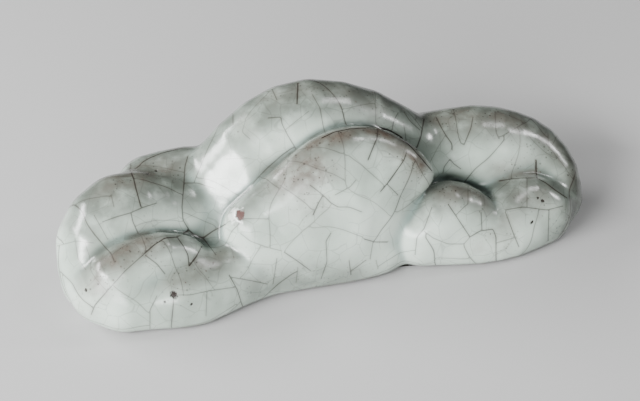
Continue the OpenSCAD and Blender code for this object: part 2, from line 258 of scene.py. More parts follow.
def within(points: np.ndarray, rows: np.ndarray, reach: float) -> np.ndarray:
    """Find the points in the box round some rows.

    Args:
        points: Places, one a row.
        rows: What the box holds.
        reach: How much larger the box is on each side.

    Returns:
        Whether each point is in the box.
    """
    low, high = rows.min(axis=0) - reach, rows.max(axis=0) + reach
    return ((points > low) & (points < high)).all(axis=1)


def melted(first: np.ndarray, second: np.ndarray, width: float) -> np.ndarray:
    """Take the smaller of two distances, with a round join.

    Args:
        first: Distances to one form.
        second: Distances to the other.
        width: Width of the join.

    Returns:
        The distances to both forms together.
    """
    blend = np.maximum(width - np.abs(first - second), 0) / width
    return np.minimum(first, second) - blend * blend * width / 4


def added(name: str, data: bpy.types.ID) -> bpy.types.Object:
    """Make an object and put it into the scene.

    Args:
        name: Name of the object.
        data: Its mesh, light or camera.

    Returns:
        The object.
    """
    made = bpy.data.objects.new(name, data)
    bpy.context.scene.collection.objects.link(made)
    return made


@dataclass(frozen=True)
class Hill:
    """One hill of clay: soft crests, each a row of [x, y, height of the middle, radius]."""

    softness: float
    crests: tuple[np.ndarray, ...]

    @classmethod
    def placed(
        cls,
        place: tuple[float, float],
        height: float,
        softness: float,
        crests: tuple[tuple[Point, ...], ...],
    ) -> Hill:
        """Set crests that are given from the hill's own place.

        Args:
            place: Where the hill stands, along and across.
            height: Height of the hill above the table.
            softness: Width of the soft join inside the hill.
            crests: Points along, across, share of the height that the top reaches, radius.

        Returns:
            The hill in the frame of the range.
        """
        along, across = place
        return cls(softness, tuple(
            np.array([[along + a, across + b, share * height - r, r] for a, b, share, r in crest])
            for crest in crests
        ))

    def extremes(self) -> np.ndarray:
        """List the lowest and the highest corner of the box round every ball of the crests."""
        balls = np.concatenate(self.crests)
        return np.concatenate([balls[:, :3] - balls[:, 3:], balls[:, :3] + balls[:, 3:]])

    def distance(self, points: np.ndarray) -> np.ndarray:
        """Distance from points to the hill's skin, negative inside.

        Args:
            points: Places in millimetres, one a row.

        Returns:
            One distance for each point.
        """
        total = np.zeros(len(points), np.float32)
        for crest in self.crests:
            total += np.exp(-self._crest_distance(points, self._bent(crest)) / self.softness)
        return -self.softness * np.log(np.maximum(total, TINY))

    @staticmethod
    def _bent(crest: np.ndarray) -> np.ndarray:
        """Put a point in between each two, so that the crest bends smoothly.

        Args:
            crest: The modelling points.

        Returns:
            The modelling points and those between them.
        """
        last = len(crest) - 1
        bent = []
        for i in range(last):
            before, after = crest[max(i - 1, 0)], crest[min(i + 2, last)]
            bent += [crest[i], (9 * (crest[i] + crest[i + 1]) - before - after) / 16]
        return np.array([*bent, crest[last]])

    @staticmethod
    def _crest_distance(points: np.ndarray, crest: np.ndarray) -> np.ndarray:
        """Distance to the nearest of the tapered rolls that a crest is made of.

        Args:
            points: Places in millimetres, one a row.
            crest: Centres and radii along the crest.

        Returns:
            One distance for each point.
        """
        nearest = np.full(len(points), np.inf, np.float32)
        for a, b in zip(crest, crest[1:]):
            run = (b[:3] - a[:3]).astype(np.float32)
            length = np.float32(np.linalg.norm(run))
            way = run / length
            taper = np.float32((b[3] - a[3]) / length)
            lean = taper / np.sqrt(1 - taper * taper)
            offset = points - a[:3].astype(np.float32)
            forward = offset @ way
            aside = np.sqrt(np.maximum((offset * offset).sum(1) - forward * forward, 0))
            reach = np.clip(forward + aside * lean, 0, length)
            gap = np.linalg.norm(offset - reach[:, None] * way, axis=1)
            nearest = np.minimum(nearest, gap - np.float32(a[3]) - taper * reach)
        return nearest


@dataclass(frozen=True)
class MountainRange:
    """The glazed form: hills on a skirt of clay, with the sizes of the part's own source."""

    main_peak: tuple[float, float] = (1, 8)
    main_height: float = 35.8
    front_hill: tuple[float, float] = (3, -4.8)
    front_height: float = 31.6
    left_peak: float = -35
    left_height: float = 23.2
    back_lobe_height: float = 23
    left_front_height: float = 18
    right_peak: float = 35
    right_height: float = 24
    right_near_height: float = 16.8
    right_far_height: float = 13.8
    skirt_height: float = 8.2
    skirt_front: float = 11.8
    skirt_back: float = 10.5
    valley_softness: float = 0.8
    foot_softness: float = 2.5
    hill_softness: float = 1.5

    def hills(self) -> list[Hill]:
        """Place every hill of the range.

        Returns:
            The foot first, then the hills from the main peak outwards.
        """
        left, right, soft = self.left_peak, self.right_peak, self.hill_softness
        return [
            self._foot(),
            Hill.placed(self.main_peak, self.main_height, 2 * self.valley_softness, (
                ((-27, -1.5, 0.465, 7.5), (-19, -0.5, 0.73, 8), (-10, 0, 0.94, 8.6),
                 (-1, 0, 1, 9), (10, -1, 0.897, 8.5), (20, -2.5, 0.685, 8)),
                ((-21, -6.5, 0.47, 8.4), (-13, -5, 0.69, 8.2)),
                ((-14, 0, 0.56, 9), (0, 0.5, 0.69, 9.5), (12, -1, 0.59, 8.5)),
            )),
            Hill.placed(self.front_hill, self.front_height, self.foot_softness, (
                ((-21.6, -2.8, 0.63, 3), (-17.1, -2.2, 0.725, 3.2), (-13.2, -1.8, 0.8, 3.2),
                 (-9, -1.3, 0.9, 3.4), (-5, -0.8, 0.972, 3.6), (-1, -0.2, 1, 3.7),
                 (3, 0.1, 0.99, 3.8), (6.6, -0.1, 0.96, 3.8), (9.4, -1.6, 0.92, 3.6),
                 (12.4, -3, 0.86, 3.3), (14.8, -3.8, 0.765, 3)),
                ((-20, -2.6, 0.5, 5), (-14, -1.4, 0.6, 6), (-6, -1, 0.8, 6.6),
                 (0.5, -1.2, 0.865, 6.8), (6.5, -1.2, 0.78, 5.8), (9.6, -1, 0.62, 4.6)),
                ((-15, -2, 0.46, 6), (-6, -2.2, 0.56, 6.6), (0.5, -2.6, 0.61, 6.9),
                 (6, -1.6, 0.52, 5.8), (8.4, -0.2, 0.42, 4.8)),
                ((-14, -1.8, 0.32, 5.4), (-1, -2.6, 0.36, 6.4), (6, -1.8, 0.33, 5.6)),
            )),
            Hill.placed((left + 12, 11), self.back_lobe_height, soft, (
                ((-10, 0.5, 0.955, 8), (-3, 0, 0.985, 8.4), (4, -1, 0.93, 7.6)),
            )),
            Hill.placed((left, 4), self.left_height, soft, (
                ((8, 0.5, 0.83, 7.8), (0, 0, 0.965, 9), (-6.6, -0.4, 1.02, 9.5),
                 (-11.3, -2.6, 0.865, 9.4), (-13.8, -7.8, 0.6, 7.4)),
            )),
            Hill.placed((left - 4, -10), self.left_front_height, soft, (
                ((-11.5, 0.2, 0.62, 4.6), (-8, -0.2, 0.88, 4.4), (-3.5, 0.2, 0.975, 4.4),
                 (2.5, 0.8, 0.985, 4.1), (7, 1.6, 0.87, 3.4)),
                ((-5.5, -1, 0.66, 6.6), (8, -1.8, 0.61, 6.6)),
                ((5, -2.2, 0.65, 5.8), (14, -1, 0.68, 4.6), (22, 1.4, 0.66, 4)),
            )),
            Hill.placed((right, 4.8), self.right_height, soft, (
                ((-8, 1.7, 0.985, 8.2), (0.5, 0, 1.02, 8.6), (7.4, -0.6, 0.94, 7.8),
                 (13, -1.9, 0.8, 7), (16.2, -6.2, 0.62, 5.8), (16.4, -9.8, 0.45, 5.2)),
                ((3, -2.4, 0.65, 7.2), (12, -3, 0.6, 6.8)),
            )),
            Hill.placed((right - 7, -9), self.right_near_height, soft, (
                ((-10.4, -0.9, 0.81, 5.4), (-6.8, -0.6, 0.95, 5.8), (-3.2, 0, 1, 6),
                 (0.2, -0.6, 0.9, 5.4), (4.8, -2, 0.66, 3.6), (9.6, -1.4, 0.7, 4.6)),
                ((-9, -0.7, 0.66, 5.6), (-3.5, -0.4, 0.7, 6.6), (1.4, -1, 0.6, 6)),
            )),
            Hill.placed((right + 4.5, -6.5), self.right_far_height, soft, (
                ((-0.8, -1.8, 0.9, 4.4), (2.8, -1, 0.96, 4.4), (6, -1.4, 0.9, 4.2),
                 (8.4, -2.8, 0.74, 3.8)),
                ((0.5, -2, 0.78, 6.6), (6, -1.7, 0.72, 6.2)),
            )),
        ]

    def _foot(self) -> Hill:
        """Lay the foot ridge and the two skirts.

        Returns:
            The foot as one soft hill.
        """
        main, front = self.main_peak[0], self.front_hill[0]
        left, right = self.left_peak, self.right_peak
        low, near, far = self.skirt_height - 4.2, -self.skirt_front, self.skirt_back
        left_end, right_end = left - 8, right + 10
        return Hill(self.foot_softness, (
            np.array([[left_end, 0, 5, 8], [main - 2, 0, 6, 9.5], [main + 18, 0, 5.5, 7],
                      [right_end - 2, 0, 4.5, 6.4]]),
            np.array([[left_end + 1, near + 3.4, low, 5.2], [left + 1, near + 0.4, low, 5.1],
                      [left + 9, near - 0.4, low, 5], [main - 15, near + 3.2, low, 4.8],
                      [front - 2, near + 2.6, low, 5], [front + 6, near + 2.8, low, 5],
                      [front + 13, near + 5.6, low, 4.6], [right - 8, near + 0.6, low, 4.8],
                      [right - 1, near - 0.2, low, 5.4], [right + 6, near + 1.2, low, 5.4],
                      [right + 13.4, near + 6.3, low + 0.5, 5.4]]),
            np.array([[left_end + 2, far - 3.5, 5, 7], [left + 10, far - 1, 5, 6],
                      [main - 4, far, 5.5, 7], [main + 18, far - 3, 5, 6],
                      [right + 2, far - 4.5, 5, 7], [right + 12, far - 8.5, 5, 7]]),
        ))

    def distance(self, points: np.ndarray) -> np.ndarray:
        """Distance from points to the glazed surface, negative inside.

        Args:
            points: Places in millimetres, one a row.

        Returns:
            One distance for each point.
        """
        points = points.astype(np.float32)
        total = np.full(len(points), TINY, np.float32)
        for hill in self.hills():
            near = within(points, hill.extremes(), FAR)
            total[near] += np.exp(-hill.distance(points[near]) / self.valley_softness)
        return -self.valley_softness * np.log(total)


@dataclass
class TriangleMesh:
    """Corners in millimetres, triangles, and what they carry for the material."""

    corners: np.ndarray
    triangles: np.ndarray
    at_corners: dict[Attribute, np.ndarray] = field(default_factory=dict)
    at_triangles: dict[Attribute, np.ndarray] = field(default_factory=dict)

    def edges(self) -> tuple[np.ndarray, np.ndarray]:
        """List every edge once.

        Returns:
            The edges as sorted pairs of corners, and for every triangle the numbers of its edges.
        """
        t = self.triangles
        pairs = np.sort(np.concatenate([t[:, [0, 1]], t[:, [1, 2]], t[:, [2, 0]]]), axis=1)
        keys = pairs[:, 0].astype(np.int64) * len(self.corners) + pairs[:, 1]
        unique, first, inverse = np.unique(keys, return_index=True, return_inverse=True)
        return pairs[first], inverse.reshape(3, -1).T

    def smoothed(self, rows: np.ndarray) -> np.ndarray:
        """Average each corner's row with those of its neighbours.

        Args:
            rows: One row for each corner.

        Returns:
            The averaged rows.
        """
        pairs, _ = self.edges()
        ends = np.concatenate([pairs, pairs[:, ::-1]])
        count = np.bincount(ends[:, 0], minlength=len(rows)).clip(1)
        near = [np.bincount(ends[:, 0], column[ends[:, 1]], len(rows)) for column in rows.T]
        return 0.5 * rows + 0.5 * np.stack(near, axis=1) / count[:, None]


@dataclass(frozen=True)
class GlazeSkin:
    """The outer skin of the glaze as a fine net, down to its wiped and rounded rim.

    Lengths are in millimetres, and the band that is sampled finely is in blocks of cells.
    """

    form: MountainRange
    cell: float
    block: int = 4
    rim_height: float = 0.6
    rim_round: float = 0.5
    rim_width: float = 1.7
    margin: float = 2
    band: float = 1.3
    relaxings: int = 3
    settlings: int = 2
    flattest: float = 0.25
    clay: np.ndarray = field(default_factory=lambda: np.zeros((0, 3)))
    cover: float = 0.3
    cover_blend: float = 0.5

    def distance(self, points: np.ndarray) -> np.ndarray:
        """Distance to the glaze, which ends at the wiped rim.

        Args:
            points: Places in millimetres, one a row.

        Returns:
            One distance for each point, negative inside.
        """
        skin = self.form.distance(points)
        if len(self.clay):
            near = within(points, self.clay, 4 * self.cover)
            gaps = np.linalg.norm(points[near, None] - self.clay, axis=2).min(axis=1, initial=FAR)
            skin[near] = melted(skin[near], gaps - self.cover, self.cover_blend)
        over = (points[:, 2] - self.rim_height).astype(np.float32)
        return -melted(-skin, over, self.rim_round)

    def slope(self, points: np.ndarray, step: float = 0.05) -> np.ndarray:
        """Slope of the distance, which points out of the glaze.

        Args:
            points: Places in millimetres, one a row.
            step: How far apart the distance is sampled.

        Returns:
            One vector for each point.
        """
        here = self.distance(points)
        ahead = [self.distance(points + step * axis) for axis in np.eye(3)]
        return np.stack([(there - here) / step for there in ahead], axis=1)

    def mesh(self, low: np.ndarray, high: np.ndarray) -> TriangleMesh:
        """Net the surface inside a box.

        Args:
            low: Lowest corner of the box that holds the glaze.
            high: Its highest corner.

        Returns:
            The net, with its corners on the glazed surface.
        """
        origin = low - self.margin
        shape = np.ceil((high + self.margin - origin) / (self.cell * self.block)).astype(int)
        values = self._sampled(origin, shape)
        net = self._net(values, origin)
        for _ in range(self.relaxings):
            net = TriangleMesh(self.settled(net.smoothed(net.corners)), net.triangles)
        skin = self.form.distance(net.corners)
        kept = net.triangles[skin[net.triangles].max(axis=1) > -self.rim_width]
        used = np.unique(kept)
        renumber = np.zeros(len(net.corners), int)
        renumber[used] = np.arange(len(used))
        return TriangleMesh(net.corners[used], renumber[kept])

    def settled(self, points: np.ndarray) -> np.ndarray:
        """Move points along the slope until they lie on the surface.

        Args:
            points: Places near the surface.

        Returns:
            The places on it.
        """
        slope = self.slope(points)
        steep = np.maximum((slope * slope).sum(1), self.flattest)
        for _ in range(self.settlings):
            points = points - slope * (self.distance(points) / steep)[:, None]
        return points

    def _sampled(self, origin: np.ndarray, shape: np.ndarray) -> np.ndarray:
        """Sample the distance on a grid, finely only where the surface passes.

        Args:
            origin: Lowest corner of the grid.
            shape: Number of coarse blocks on each side.

        Returns:
            Distances at the fine grid's corners.
        """
        coarse = self.cell * self.block
        middles = [origin[a] + coarse * (np.arange(shape[a]) + 0.5) for a in range(3)]
        places = np.stack(np.meshgrid(*middles, indexing="ij"), axis=-1).reshape(-1, 3)
        rough = self.distance(places).reshape(shape)
        fine = rough.repeat(self.block, 0).repeat(self.block, 1).repeat(self.block, 2)
        near = np.abs(fine) < self.band * coarse
        corners = [origin[a] + self.cell * np.arange(shape[a] * self.block) for a in range(3)]
        grid = np.meshgrid(*corners, indexing="ij")
        fine[near] = self.distance(np.stack([g[near] for g in grid], axis=-1))
        return fine

    def _net(self, values: np.ndarray, origin: np.ndarray) -> TriangleMesh:
        """Put one corner in each grid cell that the surface crosses, and join them.

        Args:
            values: Distances at the grid's corners.
            origin: Lowest corner of the grid.

        Returns:
            The net with outward triangles.
        """
        inside = values < 0
        size = tuple(n - 1 for n in values.shape)
        shifts = [(i, j, k) for i in (0, 1) for j in (0, 1) for k in (0, 1)]
        count = sum(
            inside[i:i + size[0], j:j + size[1], k:k + size[2]].astype(np.int8)
            for i, j, k in shifts
        )
        cells = np.argwhere((count > 0) & (count < len(shifts)))
        number = np.full(size, -1)
        number[tuple(cells.T)] = np.arange(len(cells))
        total = np.zeros((len(cells), 3))
        crossings = np.zeros(len(cells))
        for a in shifts:
            for axis in range(3):
                if a[axis]:
                    continue
                b = tuple(a[n] + (n == axis) for n in range(3))
                at_a, at_b = values[tuple((cells + a).T)], values[tuple((cells + b).T)]
                cross = (at_a < 0) != (at_b < 0)
                share = np.where(cross, at_a / np.where(cross, at_a - at_b, 1), 0)
                total += np.where(cross[:, None], np.array(a) + share[:, None] * np.eye(3)[axis], 0)
                crossings += cross
        corners = origin + self.cell * (cells + total / crossings[:, None])
        quads = np.concatenate([self._quads(inside, number, axis) for axis in range(3)])
        return TriangleMesh(corners, np.concatenate([quads[:, [0, 1, 2]], quads[:, [0, 2, 3]]]))

    @staticmethod
    def _quads(inside: np.ndarray, number: np.ndarray, axis: int) -> np.ndarray:
        """Join the four cells round every grid edge that the surface crosses along one axis.

        Args:
            inside: Whether each grid corner is inside.
            number: The net corner of each cell, or -1.
            axis: Along which axis the edges run.

        Returns:
            Quads of net corners, facing out.
        """
        along = np.moveaxis(inside, axis, 0)
        numbers = np.moveaxis(number, axis, 0)
        leaves = along[:-1] & ~along[1:]
        enters = ~along[:-1] & along[1:]
        quads = []
        for change, order in ((leaves, (0, 1, 2, 3)), (enters, (3, 2, 1, 0))):
            i, j, k = np.argwhere(change[:, 1:-1, 1:-1]).T
            round_edge = ((0, 0), (1, 0), (1, 1), (0, 1))
            around = [numbers[i, j + over, k + up] for over, up in round_edge]
            quads.append(np.stack([around[n] for n in order], axis=1))
        quads = np.concatenate(quads)
        return quads if axis != 1 else quads[:, ::-1]


def bare_clay(form: MountainRange, depth: float = 0.2, spacing: float = 0.25) -> np.ndarray:
    """Find the clay that the glaze would leave bare, in folds tighter than the clay's facets.

    Args:
        form: The glazed form.
        depth: How deep under the surface clay counts as covered.
        spacing: How far apart the clay is sampled.

    Returns:
        Places on the clay, one a row, in millimetres.
    """
    found = [np.zeros((0, 3))]
    for name in CLAY_SHELLS:
        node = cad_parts[name]
        places = np.array([node.matrix_world @ corner.co for corner in node.data.vertices]) / MM
        facets = places[np.array([face.vertices[:3] for face in node.data.polygons])]
        longest = np.linalg.norm(facets - np.roll(facets, 1, axis=1), axis=2).max(axis=1)
        for facet, side in zip(facets, longest):
            count = int(np.ceil(side / spacing))
            steps = np.arange(count + 1)
            first, second = np.nonzero(np.add.outer(steps, steps) <= count)
            shares = np.stack([first, second, count - first - second], axis=1) / count
            found.append(shares @ facet)
    samples = np.concatenate(found)
    return samples[form.distance(samples) > -depth]


@dataclass(frozen=True)
class Viewpoint:
    """Where the photograph was taken from, in millimetres and degrees.

    A line of sight is followed from a share of the distance on, in cautious strides.
    """

    target: Place = (-1, -2, 14)
    azimuth: float = -18
    elevation: float = 35
    distance: float = 420
    lens: float = 114.5
    sensor: float = 36
    photo: Pixel = (640, 401)
    start: float = 0.8
    stride: float = 5
    strides: int = 50
    caution: float = 0.9

    def aimed(self, thing: bpy.types.Object, back: Vector, distance: float) -> None:
        """Put a lamp or the camera in its place and point it at the target.

        Args:
            thing: The lamp or the camera.
            back: Direction from the target to it.
            distance: How far away it is, in metres.
        """
        target = Vector(self.target) * MM
        thing.location = target + back * distance
        thing.rotation_euler = (-back).to_track_quat("-Z", "Y").to_euler()

    def seen(self, skin: GlazeSkin, pixels: np.ndarray) -> np.ndarray:
        """Find the places on the glaze that the photograph shows at some of its pixels.

        Args:
            skin: The glazed surface.
            pixels: Places in the photograph, one a row.

        Returns:
            The places on the glaze.
        """
        back = np.array(away(self.azimuth, self.elevation))
        right = np.cross([0, 0, 1], back)
        right /= np.linalg.norm(right)
        up = np.cross(back, right)
        across = (pixels - np.array(self.photo) / 2) * self.sensor / self.photo[0]
        ways = unit(across[:, :1] * right - across[:, 1:] * up - self.lens * back)
        places = np.array(self.target) + self.distance * (back + self.start * ways)
        for _ in range(self.strides):
            left = np.minimum(skin.distance(places), self.stride)
            places = places + self.caution * left[:, None] * ways
        return places


@dataclass(frozen=True)
class Crack:
    """One crack: points along it on the glaze, and how dark it is stained."""

    path: np.ndarray
    stain: float

    def measure(self, points: np.ndarray) -> tuple[np.ndarray, np.ndarray, np.ndarray]:
        """Measure how points lie to the crack.

        Args:
            points: Places near the crack.

        Returns:
            The offset of each point from the nearest place of the crack, the crack's direction
            there, and how far along the crack that is, counted in its own points.
        """
        runs = self.path[1:] - self.path[:-1]
        away_from = points[:, None] - self.path[None, :-1]
        share = np.clip((away_from * runs).sum(2) / (runs * runs).sum(1), 0, 1)
        offsets = away_from - share[..., None] * runs
        nearest = (offsets * offsets).sum(2).argmin(1)
        rows = np.arange(len(points))
        return offsets[rows, nearest], runs[nearest], nearest + share[rows, nearest]


@dataclass(frozen=True)
class Ground:
    """What cracks run over: the glazed surface, its net, and which corners the photograph shows."""

    skin: GlazeSkin
    net: TriangleMesh
    seen: np.ndarray


@dataclass(frozen=True)
class CrackGrowth:
    """Cracks that start on bare stretches and run until they meet another crack.

    Each round has its spacing of starts, its clearance from older cracks, and its stain.
    """

    rounds: tuple[tuple[float, float, float], ...] = (
        (15, 5, 0.6),
        (9, 3.6, 0.46),
        (6, 2.4, 0.32),
    )
    step: float = 0.6
    steps: int = 34
    meeting: float = 0.7
    seen_clearance: float = 1.2
    seen_stain: float = 0.95
    stains: Span = (0.6, 1.3)
    slant: float = 0.3
    recovery: float = 0.3
    wander: float = 0.035
    lowest: float = 0.9
    tries: int = 2500
    seed: int = 8

    def grow(self, ground: Ground, known: list[Crack]) -> list[Crack]:
        """Let cracks grow round after round, each square to what is nearest.

        Args:
            ground: What they run over.
            known: Cracks that are already there.

        Returns:
            The known cracks and the grown ones.
        """
        chance = np.random.default_rng(self.seed)
        cracks = list(known)
        for spacing, clearance, stain in self.rounds:
            chosen, headings = self._starts(ground, cracks, spacing, clearance, chance)
            paths = self._run(ground, cracks, chosen, headings, chance)
            shares = chance.uniform(*self.stains, len(paths))
            shares *= np.where(ground.seen[chosen], self.seen_stain, 1)
            cracks += [Crack(path, stain * share) for path, share in zip(paths, shares)]
        return cracks

    def _starts(
        self,
        ground: Ground,
        cracks: list[Crack],
        spacing: float,
        clearance: float,
        chance: np.random.Generator,
    ) -> tuple[np.ndarray, np.ndarray]:
        """Choose where cracks start and which way they run.

        Args:
            ground: What they run over.
            cracks: Older cracks.
            spacing: Least distance between two starts.
            clearance: Least distance from an older crack.
            chance: The dice.

        Returns:
            The numbers of the corners where they start, and their headings.
        """
        old = np.concatenate([crack.path[:-1] for crack in cracks])
        runs = np.concatenate([np.diff(crack.path, axis=0) for crack in cracks])
        corners = ground.net.corners
        chosen, beside = [], []
        for number in chance.integers(0, len(corners), self.tries):
            place = corners[number]
            gaps = np.linalg.norm(old - place, axis=1)
            least = clearance * (self.seen_clearance if ground.seen[number] else 1)
            apart = np.linalg.norm(corners[chosen] - place, axis=1).min(initial=spacing)
            if gaps.min() >= least and apart >= spacing and place[2] > self.lowest:
                chosen.append(number)
                beside.append(runs[gaps.argmin()])
        across = unit(np.array(beside)) + chance.normal(0, self.slant, (len(chosen), 3))
        return np.array(chosen), unit(np.cross(ground.skin.slope(corners[chosen]), across))

    def _run(
        self,
        ground: Ground,
        cracks: list[Crack],
        chosen: np.ndarray,
        headings: np.ndarray,
        chance: np.random.Generator,
    ) -> list[np.ndarray]:
        """Run every crack both ways at once over the surface.

        Args:
            ground: What they run over.
            cracks: Older cracks, at which the new ones end.
            chosen: The numbers of the corners where the new ones start.
            headings: Which way they run.
            chance: The dice.

        Returns:
            The path of each new crack.
        """
        skin, starts = ground.skin, ground.net.corners[chosen]
        points = [place for crack in cracks for place in crack.path] + list(starts)
        owners = [-1] * (len(points) - len(starts)) + list(range(len(starts)))
        tips, ways = np.concatenate([starts, starts]), np.concatenate([headings, -headings])
        trails: list[list[np.ndarray]] = [[] for _ in tips]
        owner_of = np.tile(np.arange(len(starts)), 2)
        bends = np.zeros(len(tips))
        alive = np.arange(len(tips))
        for _ in range(self.steps):
            tree = KDTree(len(points))
            for number, place in enumerate(points):
                tree.insert(place, number)
            tree.balance()
            bends[alive] += chance.normal(0, self.wander, len(alive)) - self.recovery * bends[alive]
            ahead = skin.settled(tips[alive] + self.step * ways[alive])
            normals = unit(skin.slope(ahead))
            turned = ways[alive] + bends[alive, None] * np.cross(normals, ways[alive])
            ways[alive] = unit(turned - (turned * normals).sum(1)[:, None] * normals)
            tips[alive] = ahead
            going = []
            for tip, place in zip(alive, ahead):
                owner = owner_of[tip]
                near = tree.find_range(place, self.meeting)
                met = [found for found in near if owners[found[1]] != owner]
                end = np.array(min(met, key=lambda found: found[2])[0]) if met else place
                trails[tip].append(end)
                points.append(end)
                owners.append(owner)
                if not met and place[2] > self.lowest:
                    going.append(tip)
            alive = np.array(going, int)
            if not going:
                break
        return [
            np.array([*trails[n + len(starts)][::-1], start, *trails[n]])
            for n, start in enumerate(starts)
        ]


@dataclass(frozen=True)
class Crackle:
    """The crackle: cracks read from the photograph, with others grown where it shows none."""

    growth: CrackGrowth = field(default_factory=CrackGrowth)
    spacing: float = 2.5
    facing: float = 0.25
    reach: float = 1.2
    straying: float = 0.3
    least_share: float = 0.06
    spreading: int = 400
    seed: int = 3

    def score(self, skin: GlazeSkin, view: Viewpoint, net: TriangleMesh) -> TriangleMesh:
        """Cut the net along the cracks, so that each crack is a line of edges.

        Args:
            skin: The glazed surface.
            view: Where the photograph was taken from.
            net: The net of it.

        Returns:
            The cut net, which carries the distance to the nearest crack, that crack's stain,
            and a shade for each cell.
        """
        normals = unit(skin.slope(net.corners))
        seen = normals @ np.array(away(view.azimuth, view.elevation)) > self.facing
        cracks = self.growth.grow(Ground(skin, net, seen), self._photographed(skin, view))
        log.info("%d cracks", len(cracks))
        pairs, sides = net.edges()
        a, b = pairs.T
        share, stains = np.full(len(pairs), -1.0), np.zeros(len(pairs))
        gap, stain = np.full(len(net.corners), self.reach), np.zeros(len(net.corners))
        for crack in cracks:
            near = np.flatnonzero(within(net.corners, crack.path, self.reach))
            offset, run, _ = crack.measure(net.corners[near])
            distance = np.linalg.norm(offset, axis=1)
            side = np.zeros(len(net.corners))
            left = (offset * np.cross(normals[near], run)).sum(1)
            side[near] = np.where(distance < self.reach, np.copysign(distance, left), 0)
            closer = distance < gap[near]
            gap[near[closer]], stain[near[closer]] = distance[closer], crack.stain
            at = np.flatnonzero((side[a] * side[b] < 0) & (stains < crack.stain))
            part = np.abs(side[a[at]]) / (np.abs(side[a[at]]) + np.abs(side[b[at]]))
            places = net.corners[a[at]] + part[:, None] * (net.corners[b[at]] - net.corners[a[at]])
            offset, _, along = crack.measure(places)
            on = (np.linalg.norm(offset, axis=1) < self.straying) & (along > 0)
            on &= along < len(crack.path) - 1
            share[at[on]], stains[at[on]] = part[on], crack.stain
        net.at_corners = {Attribute.CRACK: gap, Attribute.STRENGTH: stain}
        return self._shaded(*self._cut(net, pairs, sides, share, stains))

    def _photographed(self, skin: GlazeSkin, view: Viewpoint) -> list[Crack]:
        """Lay the cracks of the photograph on the glaze.

        Args:
            skin: The glazed surface.
            view: Where the photograph was taken from.

        Returns:
            One crack for each line of the photograph's list.
        """
        lines, stains = [], []
        for stain, corners in PHOTOGRAPHED_CRACKS.values():
            line = np.array(corners, float)
            along = np.concatenate([[0], np.cumsum(np.linalg.norm(np.diff(line, axis=0), axis=1))])
            stops = np.linspace(0, along[-1], 2 + int(along[-1] / self.spacing))
            lines.append(np.stack([np.interp(stops, along, column) for column in line.T], axis=1))
            stains.append(stain)
        places = view.seen(skin, np.concatenate(lines))
        paths = np.split(places, np.cumsum([len(line) for line in lines])[:-1])
        return [Crack(path, stain) for path, stain in zip(paths, stains)]

    def _cut(
        self,
        net: TriangleMesh,
        pairs: np.ndarray,
        sides: np.ndarray,
        share: np.ndarray,
        stains: np.ndarray,
    ) -> tuple[TriangleMesh, int]:
        """Split every triangle that a crack crosses or ends in.

        Args:
            net: The net before it is cut.
            pairs: Its edges as pairs of corners.
            sides: The three edges of each triangle.
            share: How far along each edge a crack crosses it, or -1.
            stains: The stain of the crack that crosses.

        Returns:
            The cut net, and the number of its first corner that lies on a crack.
        """
        cut = share >= 0
        a, b = pairs[cut].T
        share = np.clip(share[cut], self.least_share, 1 - self.least_share)[:, None]
        first = len(net.corners)
        on_edge = np.full(len(pairs), -1)
        on_edge[cut] = first + np.arange(len(a))
        crossings = net.corners[a] + share * (net.corners[b] - net.corners[a])
        crossed, ends = cut[sides], on_edge[sides]
        count = crossed.sum(1)
        meeting = np.flatnonzero(count == 3)
        hubs = crossings[ends[meeting] - first].mean(axis=1)
        hub = first + len(a) + np.arange(len(meeting))
        triangles = [net.triangles[count == 0]]
        for turn in range(3):
            v, e, c = (np.roll(rows, -turn, axis=1) for rows in (net.triangles, ends, crossed))
            once = (count == 1) & c[:, 0]
            p, q, r, pq = *v[once].T, e[once, 0]
            triangles += [np.stack(t, 1) for t in ((p, pq, r), (pq, q, r))]
            twice = (count == 2) & ~c[:, 1]
            p, q, r, pq, rp = *v[twice].T, e[twice, 0], e[twice, 2]
            triangles += [np.stack(t, 1) for t in ((p, pq, rp), (pq, q, r), (pq, r, rp))]
            p, pq, rp = v[meeting, 0], e[meeting, 0], e[meeting, 2]
            triangles += [np.stack(t, 1) for t in ((p, pq, hub), (p, hub, rp))]
        corners = np.concatenate([net.corners, crossings, hubs])
        made = TriangleMesh(corners, np.concatenate(triangles))
        at_hub = stains[sides[meeting]].max(axis=1)
        made.at_corners = {
            name: np.concatenate([net.at_corners[name], *more])
            for name, more in (
                (Attribute.CRACK, (np.zeros(len(a) + len(hub)),)),
                (Attribute.STRENGTH, (stains[cut], at_hub)),
            )
        }
        return made, first

    def _shaded(self, net: TriangleMesh, first: int) -> TriangleMesh:
        """Give each cell between cracks its own shade.

        Args:
            net: The cut net.
            first: The number of its first corner that lies on a crack.

        Returns:
            The net with a shade on each triangle.
        """
        pairs, sides = net.edges()
        open_edge = (pairs < first).any(axis=1)
        labels = np.arange(len(net.triangles))
        for _ in range(self.spreading):
            lowest = np.full(len(pairs), len(labels))
            np.minimum.at(lowest, sides.ravel(), np.repeat(labels, 3))
            lowest[~open_edge] = len(labels)
            spread = np.minimum(labels, lowest[sides].min(axis=1))
            spread = spread[spread]
            if (spread == labels).all():
                break
            labels = spread
        shades = np.random.default_rng(self.seed).random(len(labels))
        net.at_triangles = {Attribute.CELL: shades[labels]}
        return net


